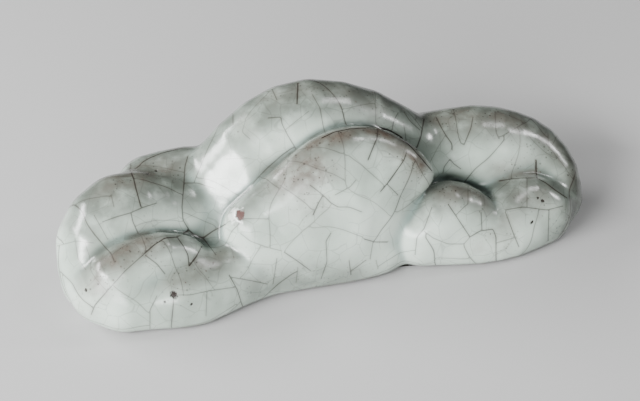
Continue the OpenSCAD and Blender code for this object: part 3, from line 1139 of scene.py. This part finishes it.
@dataclass(frozen=True)
class GlazeDepth:
    """Where the glaze ran thin on crests and gathered thick in valleys, with painted shade
    darkening the valleys too, and where it turned brown, or grey with painted shade.

    Each of these masks has the bends of the surface, in 1/mm, at which it starts and is full; the
    wide bend darkens whole valleys as painted shade.
    """

    probe: float = 1.4
    shade_probe: float = 4
    thin: Span = (0.2, 0.42)
    # Narrow valleys: glaze gathered thick there, with painted shade on it; wide valleys: painted
    # shade alone.
    pooled_and_shaded: Span = (0.02, -0.35)
    widely_shaded: Span = (0.02, -0.16)
    reach: float = 2.2

    def mark(
        self, mesh: TriangleMesh, skin: GlazeSkin, view: Viewpoint, normals: np.ndarray
    ) -> None:
        """Add the masks to a net.

        Args:
            mesh: The net to mark.
            skin: The glazed surface that it lies on.
            view: Where the photograph was taken from.
            normals: The net's normals.
        """
        # The grey mask is partly thin glaze and partly painted shade on tops, edges and the low
        # belly.
        tinted = {Attribute.BROWN: BROWN_STRETCHES, Attribute.GREY_AND_SHADE: GREY_AND_SHADE_STRETCHES}
        for name, stretches in tinted.items():
            mask = np.zeros(len(mesh.corners))
            for strength, radius, pixels in stretches.values():
                middle = Crack(view.seen(skin, np.array(pixels, float)), strength)
                near = within(mesh.corners, middle.path, self.reach * radius)
                share = np.linalg.norm(middle.measure(mesh.corners[near])[0], axis=1) / radius
                mask[near] = np.maximum(mask[near], strength * np.exp(-share * share))
            mesh.at_corners[name] = mask
        bend = self._bend(mesh, skin, normals, self.probe)
        shade_bend = self._bend(mesh, skin, normals, self.shade_probe)
        # The valley mask is thick glaze and painted shade in one.
        pools_and_shade = self._ramp(bend, *self.pooled_and_shaded) + self._ramp(shade_bend, *self.widely_shaded)
        mesh.at_corners[Attribute.THIN] = self._ramp(bend, *self.thin)
        mesh.at_corners[Attribute.POOL_AND_SHADE] = pools_and_shade / 2

    @staticmethod
    def _bend(
        mesh: TriangleMesh, skin: GlazeSkin, normals: np.ndarray, probe: float
    ) -> np.ndarray:
        """How the surface bends at each corner, positive on crests.

        Args:
            mesh: The net.
            skin: The glazed surface.
            normals: The net's normals.
            probe: How far to the four sides the surface is probed.

        Returns:
            The bend, in 1/mm.
        """
        faces_along = np.abs(normals[:, :1]) >= 0.8
        steady = np.where(faces_along, [[0, 1, 0]], [[1, 0, 0]])
        side = unit(np.cross(normals, steady))
        over = np.cross(normals, side)
        ways = (side, -side, over, -over)
        return sum(skin.distance(mesh.corners + probe * way) for way in ways) / probe ** 2

    @staticmethod
    def _ramp(values: np.ndarray, start: float, end: float) -> np.ndarray:
        """Rise smoothly from 0 at the start to 1 at the end."""
        share = np.clip((values - start) / (end - start), 0, 1)
        return share * share * (3 - 2 * share)


class Tree:
    """Short ways to build a shader tree or a node group."""

    def __init__(self, tree: bpy.types.NodeTree) -> None:
        """Take the tree that is to be built, a material's own or a group's."""
        self.tree = tree

    def add(self, kind: str, inputs: dict | None = None, **settings: object) -> bpy.types.Node:
        """Add a node, set its properties, and set or link its inputs.

        Args:
            kind: Type name of the node.
            inputs: Values or sockets by the name or number of the input.
            settings: Properties of the node.

        Returns:
            The node.
        """
        node = self.tree.nodes.new(kind)
        for name, value in settings.items():
            setattr(node, name, value)
        for key, value in (inputs or {}).items():
            self.put(node.inputs[key], value)
        return node

    def put(self, socket: Socket, value: object) -> None:
        """Link a socket to another or give it a value.

        Args:
            socket: The input.
            value: A socket or a plain value.
        """
        if isinstance(value, Socket):
            self.tree.links.new(value, socket)
        else:
            socket.default_value = value

    def math(self, operation: str, *values: object, clamp: bool = False) -> Socket:
        """Work out one number from numbers or sockets, kept from 0 to 1 if it is clamped."""
        given = dict(enumerate(values))
        return self.add("ShaderNodeMath", given, operation=operation, use_clamp=clamp).outputs[0]

    def vector(self, operation: str, *values: object, output: str = "Vector") -> Socket:
        """Work out one vector, or at another output one number, from vectors or sockets."""
        given = dict(enumerate(values))
        return self.add("ShaderNodeVectorMath", given, operation=operation).outputs[output]

    def rise(self, value: object, start: object, end: object) -> Socket:
        """Rise smoothly from 0 to 1 while a value goes from start to end.

        Args:
            value: The value that drives the ramp.
            start: Where the ramp is 0.
            end: Where it is 1.

        Returns:
            The ramp's socket.
        """
        limits = {"Value": value, "From Min": start, "From Max": end}
        node = self.add("ShaderNodeMapRange", limits, interpolation_type="SMOOTHSTEP")
        return node.outputs["Result"]

    def fall(self, value: object, start: object, end: object) -> Socket:
        """Fall smoothly from 1 to 0 while a value goes from start to end."""
        return self.math("SUBTRACT", 1.0, self.rise(value, start, end))

    def spread(self, share: object, span: Span, clamp: bool = False) -> Socket:
        """Go from one end of a span to the other while a share goes from 0 to 1."""
        return self.math("MULTIPLY_ADD", share, span[1] - span[0], span[0], clamp=clamp)

    def scaled(self, vector: object, factor: object) -> Socket:
        """Make a vector or a colour longer or shorter."""
        inputs = {0: vector, "Scale": factor}
        return self.add("ShaderNodeVectorMath", inputs, operation="SCALE").outputs[0]

    def mix(self, share: object, first: object, second: object) -> Socket:
        """Mix two colours.

        Args:
            share: Share of the second colour.
            first: Colour or socket.
            second: Colour or socket.

        Returns:
            The mixed colour's socket.
        """
        inputs = {"Factor": share}
        for number, colour in ((6, first), (7, second)):
            inputs[number] = colour if isinstance(colour, Socket) else (*colour, 1)
        return self.add("ShaderNodeMix", inputs, data_type="RGBA").outputs[2]

    def attribute(self, name: Attribute) -> Socket:
        """Read a number that the mesh carries."""
        return self.add("ShaderNodeAttribute", attribute_name=name.value).outputs["Fac"]

    def noise(self, place: object, size: float, detail: float = 2) -> Socket:
        """Cloudy noise from 0 to 1, with clouds of a size in metres and finer layers in them."""
        inputs = {"Vector": place, "Scale": 1 / size, "Detail": detail}
        return self.add("ShaderNodeTexNoise", inputs).outputs["Fac"]


class NodeGroup:
    """A shader node group with named inputs that puts out a mask."""

    OUTPUT = "Mask"

    def __init__(self, name: str, inputs: dict[str, object]) -> None:
        """Make an empty group.

        Args:
            name: Name of the group.
            inputs: Default value by input name; a tuple is a vector.
        """
        self.group = bpy.data.node_groups.new(name, "ShaderNodeTree")
        face = self.group.interface
        for label, value in inputs.items():
            kind = "NodeSocketVector" if isinstance(value, tuple) else "NodeSocketFloat"
            socket = face.new_socket(name=label, in_out="INPUT", socket_type=kind)
            socket.default_value = value
        face.new_socket(name=self.OUTPUT, in_out="OUTPUT", socket_type="NodeSocketFloat")
        self.tree = Tree(self.group)
        self.inputs = self.tree.add("NodeGroupInput").outputs

    def finished(self, mask: Socket) -> NodeGroup:
        """Put out a mask."""
        self.tree.add("NodeGroupOutput", {self.OUTPUT: mask})
        return self

    def mask(self, tree: Tree, **values: object) -> Socket:
        """Use the group in a material.

        Args:
            tree: The material's tree.
            values: Values or sockets by input name.

        Returns:
            The mask's socket.
        """
        node = tree.add("ShaderNodeGroup", node_tree=self.group)
        for name, value in values.items():
            tree.put(node.inputs[name], value)
        return node.outputs[self.OUTPUT]


class Finish(Tree):
    """A material in the making: its tree and its shader."""

    def __init__(self, name: str) -> None:
        """Make a plain material.

        Args:
            name: Name of the material.
        """
        self.made = bpy.data.materials.new(name)
        self.made.use_nodes = True
        super().__init__(self.made.node_tree)
        self.shader = self.made.node_tree.nodes["Principled BSDF"]

    def place(self) -> Socket:
        """The place on the piece, in metres."""
        return self.add("ShaderNodeTexCoord").outputs["Object"]

    def fix(self, values: dict[str, object]) -> None:
        """Set or link inputs of the shader, given by their names."""
        for name, value in values.items():
            self.put(self.shader.inputs[name], value)

    def bump(self, height: Socket, strength: float, distance: float) -> Socket:
        """Turn a height into a normal, where the distance in metres is a height of 1."""
        inputs = {"Strength": strength, "Distance": distance, "Height": height}
        return self.add("ShaderNodeBump", inputs).outputs["Normal"]


@dataclass(frozen=True)
class Clouds:
    """Cloudy patches, and the noise at which they start and are full. The size is in metres."""

    size: float
    detail: float
    limits: Span

    def mask(self, tree: Tree, place: Socket) -> Socket:
        """The patches at a place."""
        return tree.rise(tree.noise(place, self.size, self.detail), *self.limits)


def hairline_group() -> NodeGroup:
    """Finer cracks that divide each main cell in its own way, and so end at its main cracks.

    Returns:
        The group, which puts out the mask of the hairlines.
    """
    made = NodeGroup("Hairline crackle", {
        "Place": NOWHERE, "Cell": 0.0, "Size": 0.0045, "Width": 0.00012, "Presence": 0.6,
        "Wave": 0.0022, "Waves": 190.0,
    })
    t, given = made.tree, made.inputs
    wave = t.add("ShaderNodeTexNoise", {
        "Vector": given["Place"], "Scale": given["Waves"], "Detail": 1.0,
    })
    push = t.scaled(t.vector("SUBTRACT", wave.outputs["Color"], (0.5, 0.5, 0.5)), given["Wave"])
    far = t.math("MULTIPLY", given["Cell"], 1.7)
    own = t.add("ShaderNodeCombineXYZ", {0: given["Cell"], 1: far})
    bent = t.vector("ADD", t.vector("ADD", given["Place"], push), own.outputs[0])
    edge = t.add(
        "ShaderNodeTexVoronoi",
        {"Vector": bent, "Scale": t.math("DIVIDE", 1.0, given["Size"])},
        feature="DISTANCE_TO_EDGE",
    )
    gap = t.math("MULTIPLY", edge.outputs["Distance"], given["Size"])
    line = t.fall(gap, t.math("MULTIPLY", given["Width"], LINE_CORE), given["Width"])
    gate = t.math("MULTIPLY", t.math("SUBTRACT", 1.0, given["Presence"]), 0.8)
    there = t.rise(t.noise(bent, size=0.006, detail=0), gate, t.math("ADD", gate, 0.12))
    return made.finished(t.math("MULTIPLY", line, there))


def speck_group() -> NodeGroup:
    """Small round specks, some large and many small.

    Returns:
        The group, which puts out the mask of the specks.
    """
    made = NodeGroup("Specks", {"Place": NOWHERE, "Spacing": 0.0012, "Share": 0.35, "Density": 0.5})
    t, given = made.tree, made.inputs
    cells = t.add("ShaderNodeTexVoronoi", {
        "Vector": given["Place"], "Scale": t.math("DIVIDE", 1.0, given["Spacing"]),
    })
    chance = t.add("ShaderNodeSeparateColor", {0: cells.outputs["Color"]})
    size = t.math("MULTIPLY", given["Share"], chance.outputs[0])
    dot = t.fall(cells.outputs["Distance"], t.math("MULTIPLY", size, 0.5), size)
    there = t.math("LESS_THAN", chance.outputs[1], given["Density"])
    return made.finished(t.math("MULTIPLY", dot, there))


def spot_group() -> NodeGroup:
    """A ragged round spot at one place.

    Returns:
        The group, which puts out the mask of the spot.
    """
    made = NodeGroup("Spot", {
        "Place": NOWHERE, "Middle": NOWHERE, "Radius": 0.001, "Ragged": 0.3,
    })
    t, given = made.tree, made.inputs
    gap = t.vector("DISTANCE", given["Place"], given["Middle"], output="Value")
    rough = t.math("SUBTRACT", t.noise(given["Place"], size=0.0008), 0.5)
    ragged = t.math("MULTIPLY", rough, given["Ragged"])
    share = t.math("ADD", t.math("DIVIDE", gap, given["Radius"]), ragged)
    return made.finished(t.fall(share, 0.55, 1.0))


@dataclass(frozen=True)
class Groups:
    """The effects that materials share."""

    hairlines: NodeGroup
    specks: NodeGroup
    spot: NodeGroup


@dataclass(frozen=True)
class Celadon:
    """Pale blue-green glaze with its crackle stained dark.

    Widths, heights and clouds are in metres, and the offset of the painted highlight beside the
    rusty pit is in pixels. A span gives the values for none and for all of what drives it.
    """

    pale: Rgb = (0.335, 0.415, 0.365)
    milky: Rgb = (0.51, 0.60, 0.54)
    creamy: Rgb = (0.47, 0.50, 0.43)
    # Dark blue-green of the valleys: thick glaze, darkened further as painted shade.
    pooled_and_shaded: Rgb = (0.10, 0.16, 0.15)
    # Dark grey of the tops: thin glaze, and painted shade and painted dark reflection on surfaces
    # facing up.
    crown: Rgb = (0.05, 0.055, 0.046)
    burnt: Rgb = (0.07, 0.055, 0.043)
    stain: Rgb = (0.017, 0.013, 0.011)
    rust: Rgb = (0.04, 0.008, 0.004)
    # A pale patch beside the rusty pit: a painted highlight.
    pit_highlight: Rgb = (0.7, 0.74, 0.7)
    milk: Clouds = Clouds(0.013, 3, (0.35, 0.62))
    creamy_share: float = 0.35
    pool_and_shade_share: float = 0.7
    # How far tops facing up are darkened as painted shade.
    shaded_top_tilt: Span = (0.3, 0.92)
    shaded_top_share: float = 0.8
    shaded_top_clouds: Clouds = Clouds(0.004, 5, (0.0, 0.62))
    cell_light: Span = (0.82, 1.06)
    brown_clouds: Clouds = Clouds(0.0032, 5, (0.3, 0.66))
    brown_cover: Span = (0.45, 1.0)
    brown_crests: float = 0.35
    freckles: Span = (0.05, 1.15)
    freckled_grey: float = 0.4
    crack_width: float = 0.0002
    crack_breath: Span = (0.35, 1.65)
    crack_swell: Span = (0.5, 1.2)
    crack_strength: Span = (0.16, 1.01)
    crept_width: float = 0.0007
    crept_share: float = 0.3
    hairline_share: float = 0.2
    # Place, size and share of the painted highlight beside the rusty pit.
    pit_highlight_offset: float = 6
    pit_highlight_size: float = 1.7
    pit_highlight_share: float = 0.5
    pinhole_share: float = 0.95
    ragged: float = 1.9
    ripple: float = 0.16
    bump_strength: float = 0.7
    bump_height: float = 0.0004
    roughness: Span = (0.13, 0.27)
    brown_roughness: float = 0.1
    rust_roughness: float = 0.4
    refraction: float = 1.52
    depth_share: float = 0.04
    depth_colour: Rgb = (1.0, 1.0, 0.9)
    depth: float = 0.0012

    def material(self, groups: Groups, skin: GlazeSkin, view: Viewpoint) -> bpy.types.Material:
        """Build the glaze.

        Args:
            groups: The shared effects.
            skin: The glazed surface, on which the marks of the photograph lie.
            view: Where the photograph was taken from.

        Returns:
            The material.
        """
        t = Finish("Crackled celadon glaze")
        place = t.place()
        brown = self._brown(t, place)
        colour = self._glass(t, place, brown)
        specks = groups.specks.mask(t, Place=place, Spacing=0.0008, Share=0.36, Density=0.9)
        # Specks follow the brown mask and the grey mask, which is partly painted shade.
        thin = t.math("MULTIPLY_ADD", t.attribute(Attribute.GREY_AND_SHADE), self.freckled_grey, brown)
        freckles = t.math("MULTIPLY", specks, t.spread(thin, self.freckles, clamp=True))
        colour = t.mix(freckles, colour, self.stain)
        fine = groups.hairlines.mask(t, Place=place, Cell=t.attribute(Attribute.CELL))
        colour = t.mix(t.math("MULTIPLY", fine, self.hairline_share), colour, self.stain)
        colour = self._cracked(t, place, colour)
        colour, pits, rusty = self._marked(t, place, colour, groups.spot, view, skin)
        ripple = t.math("MULTIPLY", t.noise(place, size=0.0022, detail=1), self.ripple)
        uneven = t.math("ADD", t.noise(place, size=0.007, detail=0), ripple)
        dull = t.spread(t.noise(place, size=0.003, detail=3), self.roughness)
        dull = t.math("MULTIPLY_ADD", brown, self.brown_roughness, dull)
        height = t.math("SUBTRACT", uneven, pits)
        t.fix({
            "Base Color": colour,
            "Normal": t.bump(height, self.bump_strength, self.bump_height),
            "Roughness": t.math("MULTIPLY_ADD", rusty, self.rust_roughness, dull),
            "IOR": self.refraction,
            "Subsurface Weight": self.depth_share,
            "Subsurface Radius": self.depth_colour,
            "Subsurface Scale": self.depth,
        })
        return t.made

    def _brown(self, t: Tree, place: Socket) -> Socket:
        """Where the glaze is brown: marked stretches and the sharpest crests, with ragged edges.

        Args:
            t: The material's tree.
            place: The place on the glaze.

        Returns:
            The mask's socket.
        """
        cover = t.spread(self.brown_clouds.mask(t, place), self.brown_cover)
        crests = t.math("MULTIPLY", t.attribute(Attribute.THIN), self.brown_crests)
        share = t.math("MAXIMUM", t.attribute(Attribute.BROWN), crests)
        return t.math("MULTIPLY", share, cover, clamp=True)

    def _glass(self, t: Tree, place: Socket, brown: Socket) -> Socket:
        """The glaze's colour: milky clouds, blue valleys of thick glaze with painted shade, dark
        crowns of thin glaze with painted shade on tops facing up, and brown crests.

        Args:
            t: The material's tree.
            place: The place on the glaze.
            brown: Mask of the brown stretches.

        Returns:
            The colour's socket.
        """
        cell = t.attribute(Attribute.CELL)
        colour = t.mix(self.milk.mask(t, place), self.pale, self.milky)
        other_shade = t.math("FRACT", t.math("MULTIPLY", cell, 7.3))
        colour = t.mix(t.math("MULTIPLY", other_shade, self.creamy_share), colour, self.creamy)
        # Valleys are darkened: thick glaze and painted shade.
        pool_and_shade = t.math("MULTIPLY", t.attribute(Attribute.POOL_AND_SHADE), self.pool_and_shade_share)
        colour = t.mix(pool_and_shade, colour, self.pooled_and_shaded)
        # Tops facing up and the grey stretches are darkened: thin glaze, and painted shade with
        # painted dark reflection.
        up = t.add("ShaderNodeSeparateXYZ", {0: t.add("ShaderNodeNewGeometry").outputs["Normal"]})
        crown = t.math("MULTIPLY", t.rise(up.outputs["Z"], *self.shaded_top_tilt), self.shaded_top_share)
        share = t.math("MAXIMUM", crown, t.attribute(Attribute.GREY_AND_SHADE))
        grey = t.math("MULTIPLY", share, self.shaded_top_clouds.mask(t, place), clamp=True)
        colour = t.mix(grey, colour, self.crown)
        colour = t.scaled(colour, t.spread(cell, self.cell_light))
        return t.mix(brown, colour, self.burnt)

    def _cracked(self, t: Tree, place: Socket, colour: Socket) -> Socket:
        """Draw the stained cracks and the stain that crept from them into the glaze.

        Args:
            t: The material's tree.
            place: The place on the glaze.
            colour: The glaze's colour.

        Returns:
            The colour's socket.
        """
        gap = t.attribute(Attribute.CRACK)
        stain = t.attribute(Attribute.STRENGTH)
        breath = t.spread(t.noise(place, size=0.004), self.crack_breath)
        swell = t.spread(stain, self.crack_swell)
        width = t.math("MULTIPLY", t.math("MULTIPLY", breath, swell), self.crack_width)
        line = t.fall(gap, t.math("MULTIPLY", width, LINE_CORE), width)
        strength = t.spread(stain, self.crack_strength, clamp=True)
        crept = t.math("MULTIPLY", t.fall(gap, 0.0, self.crept_width), stain)
        colour = t.mix(t.math("MULTIPLY", crept, self.crept_share), colour, self.burnt)
        return t.mix(t.math("MULTIPLY", line, strength), colour, self.stain)

    def _marked(
        self,
        t: Tree,
        place: Socket,
        colour: Socket,
        spot: NodeGroup,
        view: Viewpoint,
        skin: GlazeSkin,
    ) -> tuple[Socket, Socket, Socket]:
        """Put in the rusty pit with a painted highlight beside it, the black spot and the pinholes.

        Args:
            t: The material's tree.
            place: The place on the glaze.
            colour: The glaze's colour.
            spot: The effect of one mark.
            view: Where the photograph was taken from.
            skin: The glazed surface.

        Returns:
            The colour's socket, a mask of how deep the marks are, and one of the rusty pit.
        """
        (x, y), radius = RUSTY_PIT
        # The pale spot beside the rusty pit is a painted highlight.
        beside = ((x - self.pit_highlight_offset, y), self.pit_highlight_size * radius)
        marks = [
            (beside, self.pit_highlight, self.pit_highlight_share),
            (RUSTY_PIT, self.rust, 1.0),
            (BLACK_SPOT, self.stain, 1.0),
            *((hole, self.stain, self.pinhole_share) for hole in PINHOLES),
        ]
        middles = view.seen(skin, np.array([mark[0] for mark, _, _ in marks], float)) * MM
        masks = []
        for middle, ((_, radius), tint, share) in zip(middles, marks):
            sizes = {"Middle": tuple(middle), "Radius": radius * MM, "Ragged": self.ragged}
            masks.append(spot.mask(t, Place=place, **sizes))
            colour = t.mix(t.math("MULTIPLY", masks[-1], share), colour, tint)
        _, rusty, *others = masks
        deep = rusty
        for mask in others:
            deep = t.math("MAXIMUM", deep, mask)
        return colour, deep, rusty


@dataclass(frozen=True)
class FiredClay:
    """Bare stoneware."""

    name: str
    body: Rgb
    dark: Rgb
    grit: Rgb = (0.05, 0.035, 0.03)
    grit_share: float = 0.6
    clouds: Clouds = Clouds(0.004, 4, (0.3, 0.7))
    roughness: float = 0.85
    bump_strength: float = 0.6
    bump_height: float = 0.0002

    def material(self, groups: Groups) -> bpy.types.Material:
        """Build the clay.

        Args:
            groups: The shared effects.

        Returns:
            The material.
        """
        t = Finish(self.name)
        place = t.place()
        grit = groups.specks.mask(t, Place=place, Spacing=0.0016, Share=0.3, Density=0.5)
        colour = t.mix(self.clouds.mask(t, place), self.body, self.dark)
        grain = t.noise(place, size=0.0012, detail=3)
        t.fix({
            "Base Color": t.mix(t.math("MULTIPLY", grit, self.grit_share), colour, self.grit),
            "Normal": t.bump(grain, self.bump_strength, self.bump_height),
            "Roughness": self.roughness,
        })
        return t.made


@dataclass(frozen=True)
class GlazeCoat:
    """The glaze as a piece: its net, its crackle, its depth and its dress."""

    form: MountainRange = field(default_factory=MountainRange)
    crackle: Crackle = field(default_factory=Crackle)
    depth: GlazeDepth = field(default_factory=GlazeDepth)
    view: Viewpoint = field(default_factory=Viewpoint)
    finish: Celadon = field(default_factory=Celadon)

    def build(self, groups: Groups) -> bpy.types.Object:
        """Make the glaze and let it stand for the CAD's glaze.

        Args:
            groups: The shared effects.

        Returns:
            The glaze.
        """
        low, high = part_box(GLAZE_NODE)
        cell = FINE_CELL
        skin = GlazeSkin(self.form, cell, clay=bare_clay(self.form))
        log.info("%d bare places of clay covered", len(skin.clay))
        low, high = np.array(low) / MM, np.array(high) / MM
        net = skin.mesh(low, high)
        net = self.crackle.score(skin, self.view, net)
        normals = unit(skin.slope(net.corners))
        self.depth.mark(net, skin, self.view, normals)
        net.corners = np.clip(net.corners, low, high)
        piece = self._object(net, normals)
        piece.data.materials.append(self.finish.material(groups, skin, self.view))
        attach(piece, BODY)
        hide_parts(GLAZE_NODE)
        return piece

    @staticmethod
    def _object(net: TriangleMesh, normals: np.ndarray) -> bpy.types.Object:
        """Turn a net into a Blender object.

        Args:
            net: The net, in millimetres.
            normals: Its normals.

        Returns:
            The object, in metres.
        """
        mesh = bpy.data.meshes.new("glaze_skin")
        mesh.from_pydata((net.corners * MM).tolist(), [], net.triangles.tolist())
        mesh.polygons.foreach_set("use_smooth", np.ones(len(net.triangles), bool))
        for domain, carried in (("POINT", net.at_corners), ("FACE", net.at_triangles)):
            for name, values in carried.items():
                scale = MM if name is Attribute.CRACK else 1
                layer = mesh.attributes.new(name.value, "FLOAT", domain)
                layer.data.foreach_set("value", (values * scale).astype(np.float32))
        mesh.normals_split_custom_set_from_vertices(normals.tolist())
        return added("glaze_skin", mesh)


@dataclass(frozen=True)
class IronSpecks:
    """Specks of iron that burst through the brown glaze, scattered by Geometry Nodes.

    Sizes are in metres, and the density is in specks per square metre of fully brown glaze.
    """

    density: float = 420000
    least: float = 0.00005
    greatest: float = 0.00017
    flatness: float = 0.3
    seed: int = 11
    name: str = "iron_specks"
    tint: Rgb = (0.03, 0.018, 0.013)
    lightest: float = 2
    roughness: float = 0.35

    def scatter(self, glaze: bpy.types.Object) -> bpy.types.Object:
        """Scatter the specks over the glaze.

        Args:
            glaze: The glaze, which carries the brown mask.

        Returns:
            The specks as one plain piece.
        """
        carrier = added("speck_carrier", glaze.data)
        modifier = carrier.modifiers.new("Specks", "NODES")
        modifier.node_group = self._tree()
        items = modifier.node_group.interface.items_tree
        inputs = {item.name: item for item in items if item.in_out == "INPUT"}
        for name, value in {**self._sizes(), "Material": self._material()}.items():
            modifier[inputs[name].identifier] = value
        evaluated = carrier.evaluated_get(bpy.context.evaluated_depsgraph_get())
        mesh = bpy.data.meshes.new_from_object(evaluated)
        mesh.name = self.name
        carrier.modifiers.clear()
        bpy.data.objects.remove(carrier)
        piece = added(self.name, mesh)
        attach(piece, BODY)
        return piece

    def _sizes(self) -> dict[str, float | int]:
        """The values of the scatter's inputs.

        Returns:
            One value for each named input.
        """
        return {
            "Density": self.density,
            "Least": self.least,
            "Greatest": self.greatest,
            "Flatness": self.flatness,
            "Seed": self.seed,
        }

    def _tree(self) -> bpy.types.NodeTree:
        """Build the Geometry Nodes tree.

        Returns:
            The tree, with one named input for each size.
        """
        tree = bpy.data.node_groups.new("Iron specks", "GeometryNodeTree")
        kinds = {"Geometry": "Geometry", **{name: "Float" for name in self._sizes()}}
        kinds |= {"Seed": "Int", "Material": "Material"}
        sockets = [(name, kind, "INPUT") for name, kind in kinds.items()]
        for name, kind, way in (*sockets, ("Geometry", "Geometry", "OUTPUT")):
            tree.interface.new_socket(name=name, in_out=way, socket_type="NodeSocket" + kind)
        t = Tree(tree)
        given = t.add("NodeGroupInput").outputs
        named = {"Name": Attribute.BROWN.value}
        brown = t.add("GeometryNodeInputNamedAttribute", named, data_type="FLOAT").outputs[0]
        share = t.math("MULTIPLY", brown, brown)
        points = t.add("GeometryNodeDistributePointsOnFaces", {
            "Mesh": given["Geometry"],
            "Density": t.math("MULTIPLY", share, given["Density"]),
            "Seed": given["Seed"],
        })
        limits = {"Min": given["Least"], "Max": given["Greatest"], "Seed": given["Seed"]}
        size = t.add("FunctionNodeRandomValue", limits, data_type="FLOAT").outputs[1]
        flat = t.math("MULTIPLY", size, given["Flatness"])
        speck = t.add("GeometryNodeMeshIcoSphere", {"Radius": 1.0, "Subdivisions": 1})
        placed = t.add("GeometryNodeInstanceOnPoints", {
            "Points": points.outputs["Points"],
            "Instance": speck.outputs["Mesh"],
            "Rotation": points.outputs["Rotation"],
            "Scale": t.add("ShaderNodeCombineXYZ", {0: size, 1: size, 2: flat}).outputs[0],
        })
        real = t.add("GeometryNodeRealizeInstances", {0: placed.outputs[0]})
        smooth = t.add("GeometryNodeSetShadeSmooth", {0: real.outputs[0]})
        dressed = t.add("GeometryNodeSetMaterial", {
            "Geometry": smooth.outputs[0], "Material": given["Material"],
        })
        t.add("NodeGroupOutput", {0: dressed.outputs[0]})
        return tree

    def _material(self) -> bpy.types.Material:
        """Dark glassy iron.

        Returns:
            The material.
        """
        t = Finish("Iron speck")
        lighter = [self.lightest * value for value in self.tint]
        clouds = t.noise(t.place(), size=0.0006)
        t.fix({"Base Color": t.mix(clouds, self.tint, lighter), "Roughness": self.roughness})
        return t.made


@dataclass(frozen=True)
class ClayBody:
    """The clay nodes of the part, which keep their own shape."""

    foot: FiredClay = FiredClay("Foot clay", (0.23, 0.15, 0.11), (0.13, 0.085, 0.07))
    walls: FiredClay = FiredClay("Body clay", (0.34, 0.27, 0.21), (0.24, 0.19, 0.15))

    def dress(self, groups: Groups) -> list[bpy.types.Object]:
        """Give each clay node its material.

        Args:
            groups: The shared effects.

        Returns:
            The clay nodes.
        """
        walls = self.walls.material(groups)
        clays = {FOOT_NODE: self.foot.material(groups), **dict.fromkeys(CLAY_SHELLS, walls)}
        for name, clay in clays.items():
            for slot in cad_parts[name].material_slots:
                slot.material = clay
        return [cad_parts[name] for name in clays]


@dataclass(frozen=True)
class Lamp:
    """An oval softbox that looks at the object, in degrees, metres and watts."""

    name: str
    azimuth: float
    elevation: float
    distance: float
    width: float
    height: float
    power: float

    def hang(self, view: Viewpoint) -> None:
        """Hang the softbox.

        Args:
            view: The viewpoint, whose target it looks at.
        """
        light = bpy.data.lights.new(self.name, "AREA")
        light.shape = "ELLIPSE"
        light.size, light.size_y = self.width, self.height
        light.energy = self.power
        view.aimed(added(self.name, light), away(self.azimuth, self.elevation), self.distance)


@dataclass(frozen=True)
class Studio:
    """Pale floor, soft light and the camera at the photograph's viewing angle."""

    view: Viewpoint = field(default_factory=Viewpoint)
    floor_size: float = 3
    floor_colour: Rgb = (0.37, 0.37, 0.37)
    floor_roughness: float = 0.8
    lamps: tuple[Lamp, ...] = (
        Lamp("long window", -64, 30, 0.75, 0.6, 0.16, 15),
        Lamp("side window", -118, 29, 0.8, 0.66, 0.13, 9),
        Lamp("low window", -36, 12, 1.0, 1.1, 0.36, 19),
        Lamp("high window", 92, 58, 0.9, 0.24, 0.14, 1.3),
        Lamp("far lamp", 82, 33, 0.8, 0.11, 0.11, 1.6),
    )
    ambient: float = 0.02
    sky: Rgb = (0.9, 0.94, 1)
    nearest_seen: float = 0.01

    def set_up(self) -> None:
        """Build the floor, the lights, the world and the camera."""
        self._floor()
        for lamp in self.lamps:
            lamp.hang(self.view)
        world = bpy.data.worlds.new("room")
        world.use_nodes = True
        background = world.node_tree.nodes["Background"]
        background.inputs["Color"].default_value = (*self.sky, 1)
        background.inputs["Strength"].default_value = self.ambient
        bpy.context.scene.world = world
        camera = added("camera", bpy.data.cameras.new("camera"))
        camera.data.lens = self.view.lens
        camera.data.sensor_width = self.view.sensor
        camera.data.sensor_fit = "HORIZONTAL"
        camera.data.clip_start = self.nearest_seen
        back = away(self.view.azimuth, self.view.elevation)
        self.view.aimed(camera, back, self.view.distance * MM)
        bpy.context.scene.camera = camera

    def _floor(self) -> None:
        """Lay a plain pale floor under the object."""
        half = self.floor_size / 2
        mesh = bpy.data.meshes.new("floor")
        corners = [(-half, -half, 0), (half, -half, 0), (half, half, 0), (-half, half, 0)]
        mesh.from_pydata(corners, [], [(0, 1, 2, 3)])
        finish = Finish("Floor")
        finish.fix({"Base Color": (*self.floor_colour, 1), "Roughness": self.floor_roughness})
        mesh.materials.append(finish.made)
        added("floor", mesh)


def main() -> None:
    logging.basicConfig(level=logging.INFO, format="%(name)s: %(message)s")
    groups = Groups(hairline_group(), speck_group(), spot_group())
    pieces = ClayBody().dress(groups)
    pieces.append(GlazeCoat().build(groups))
    pieces.append(IronSpecks().scatter(pieces[-1]))
    for piece in pieces:
        log.info("%s: %d triangles", piece.name, len(piece.data.polygons))
    Studio().set_up()
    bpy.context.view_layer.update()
    log.info("size report written")


if __name__ == "__main__":
    main()
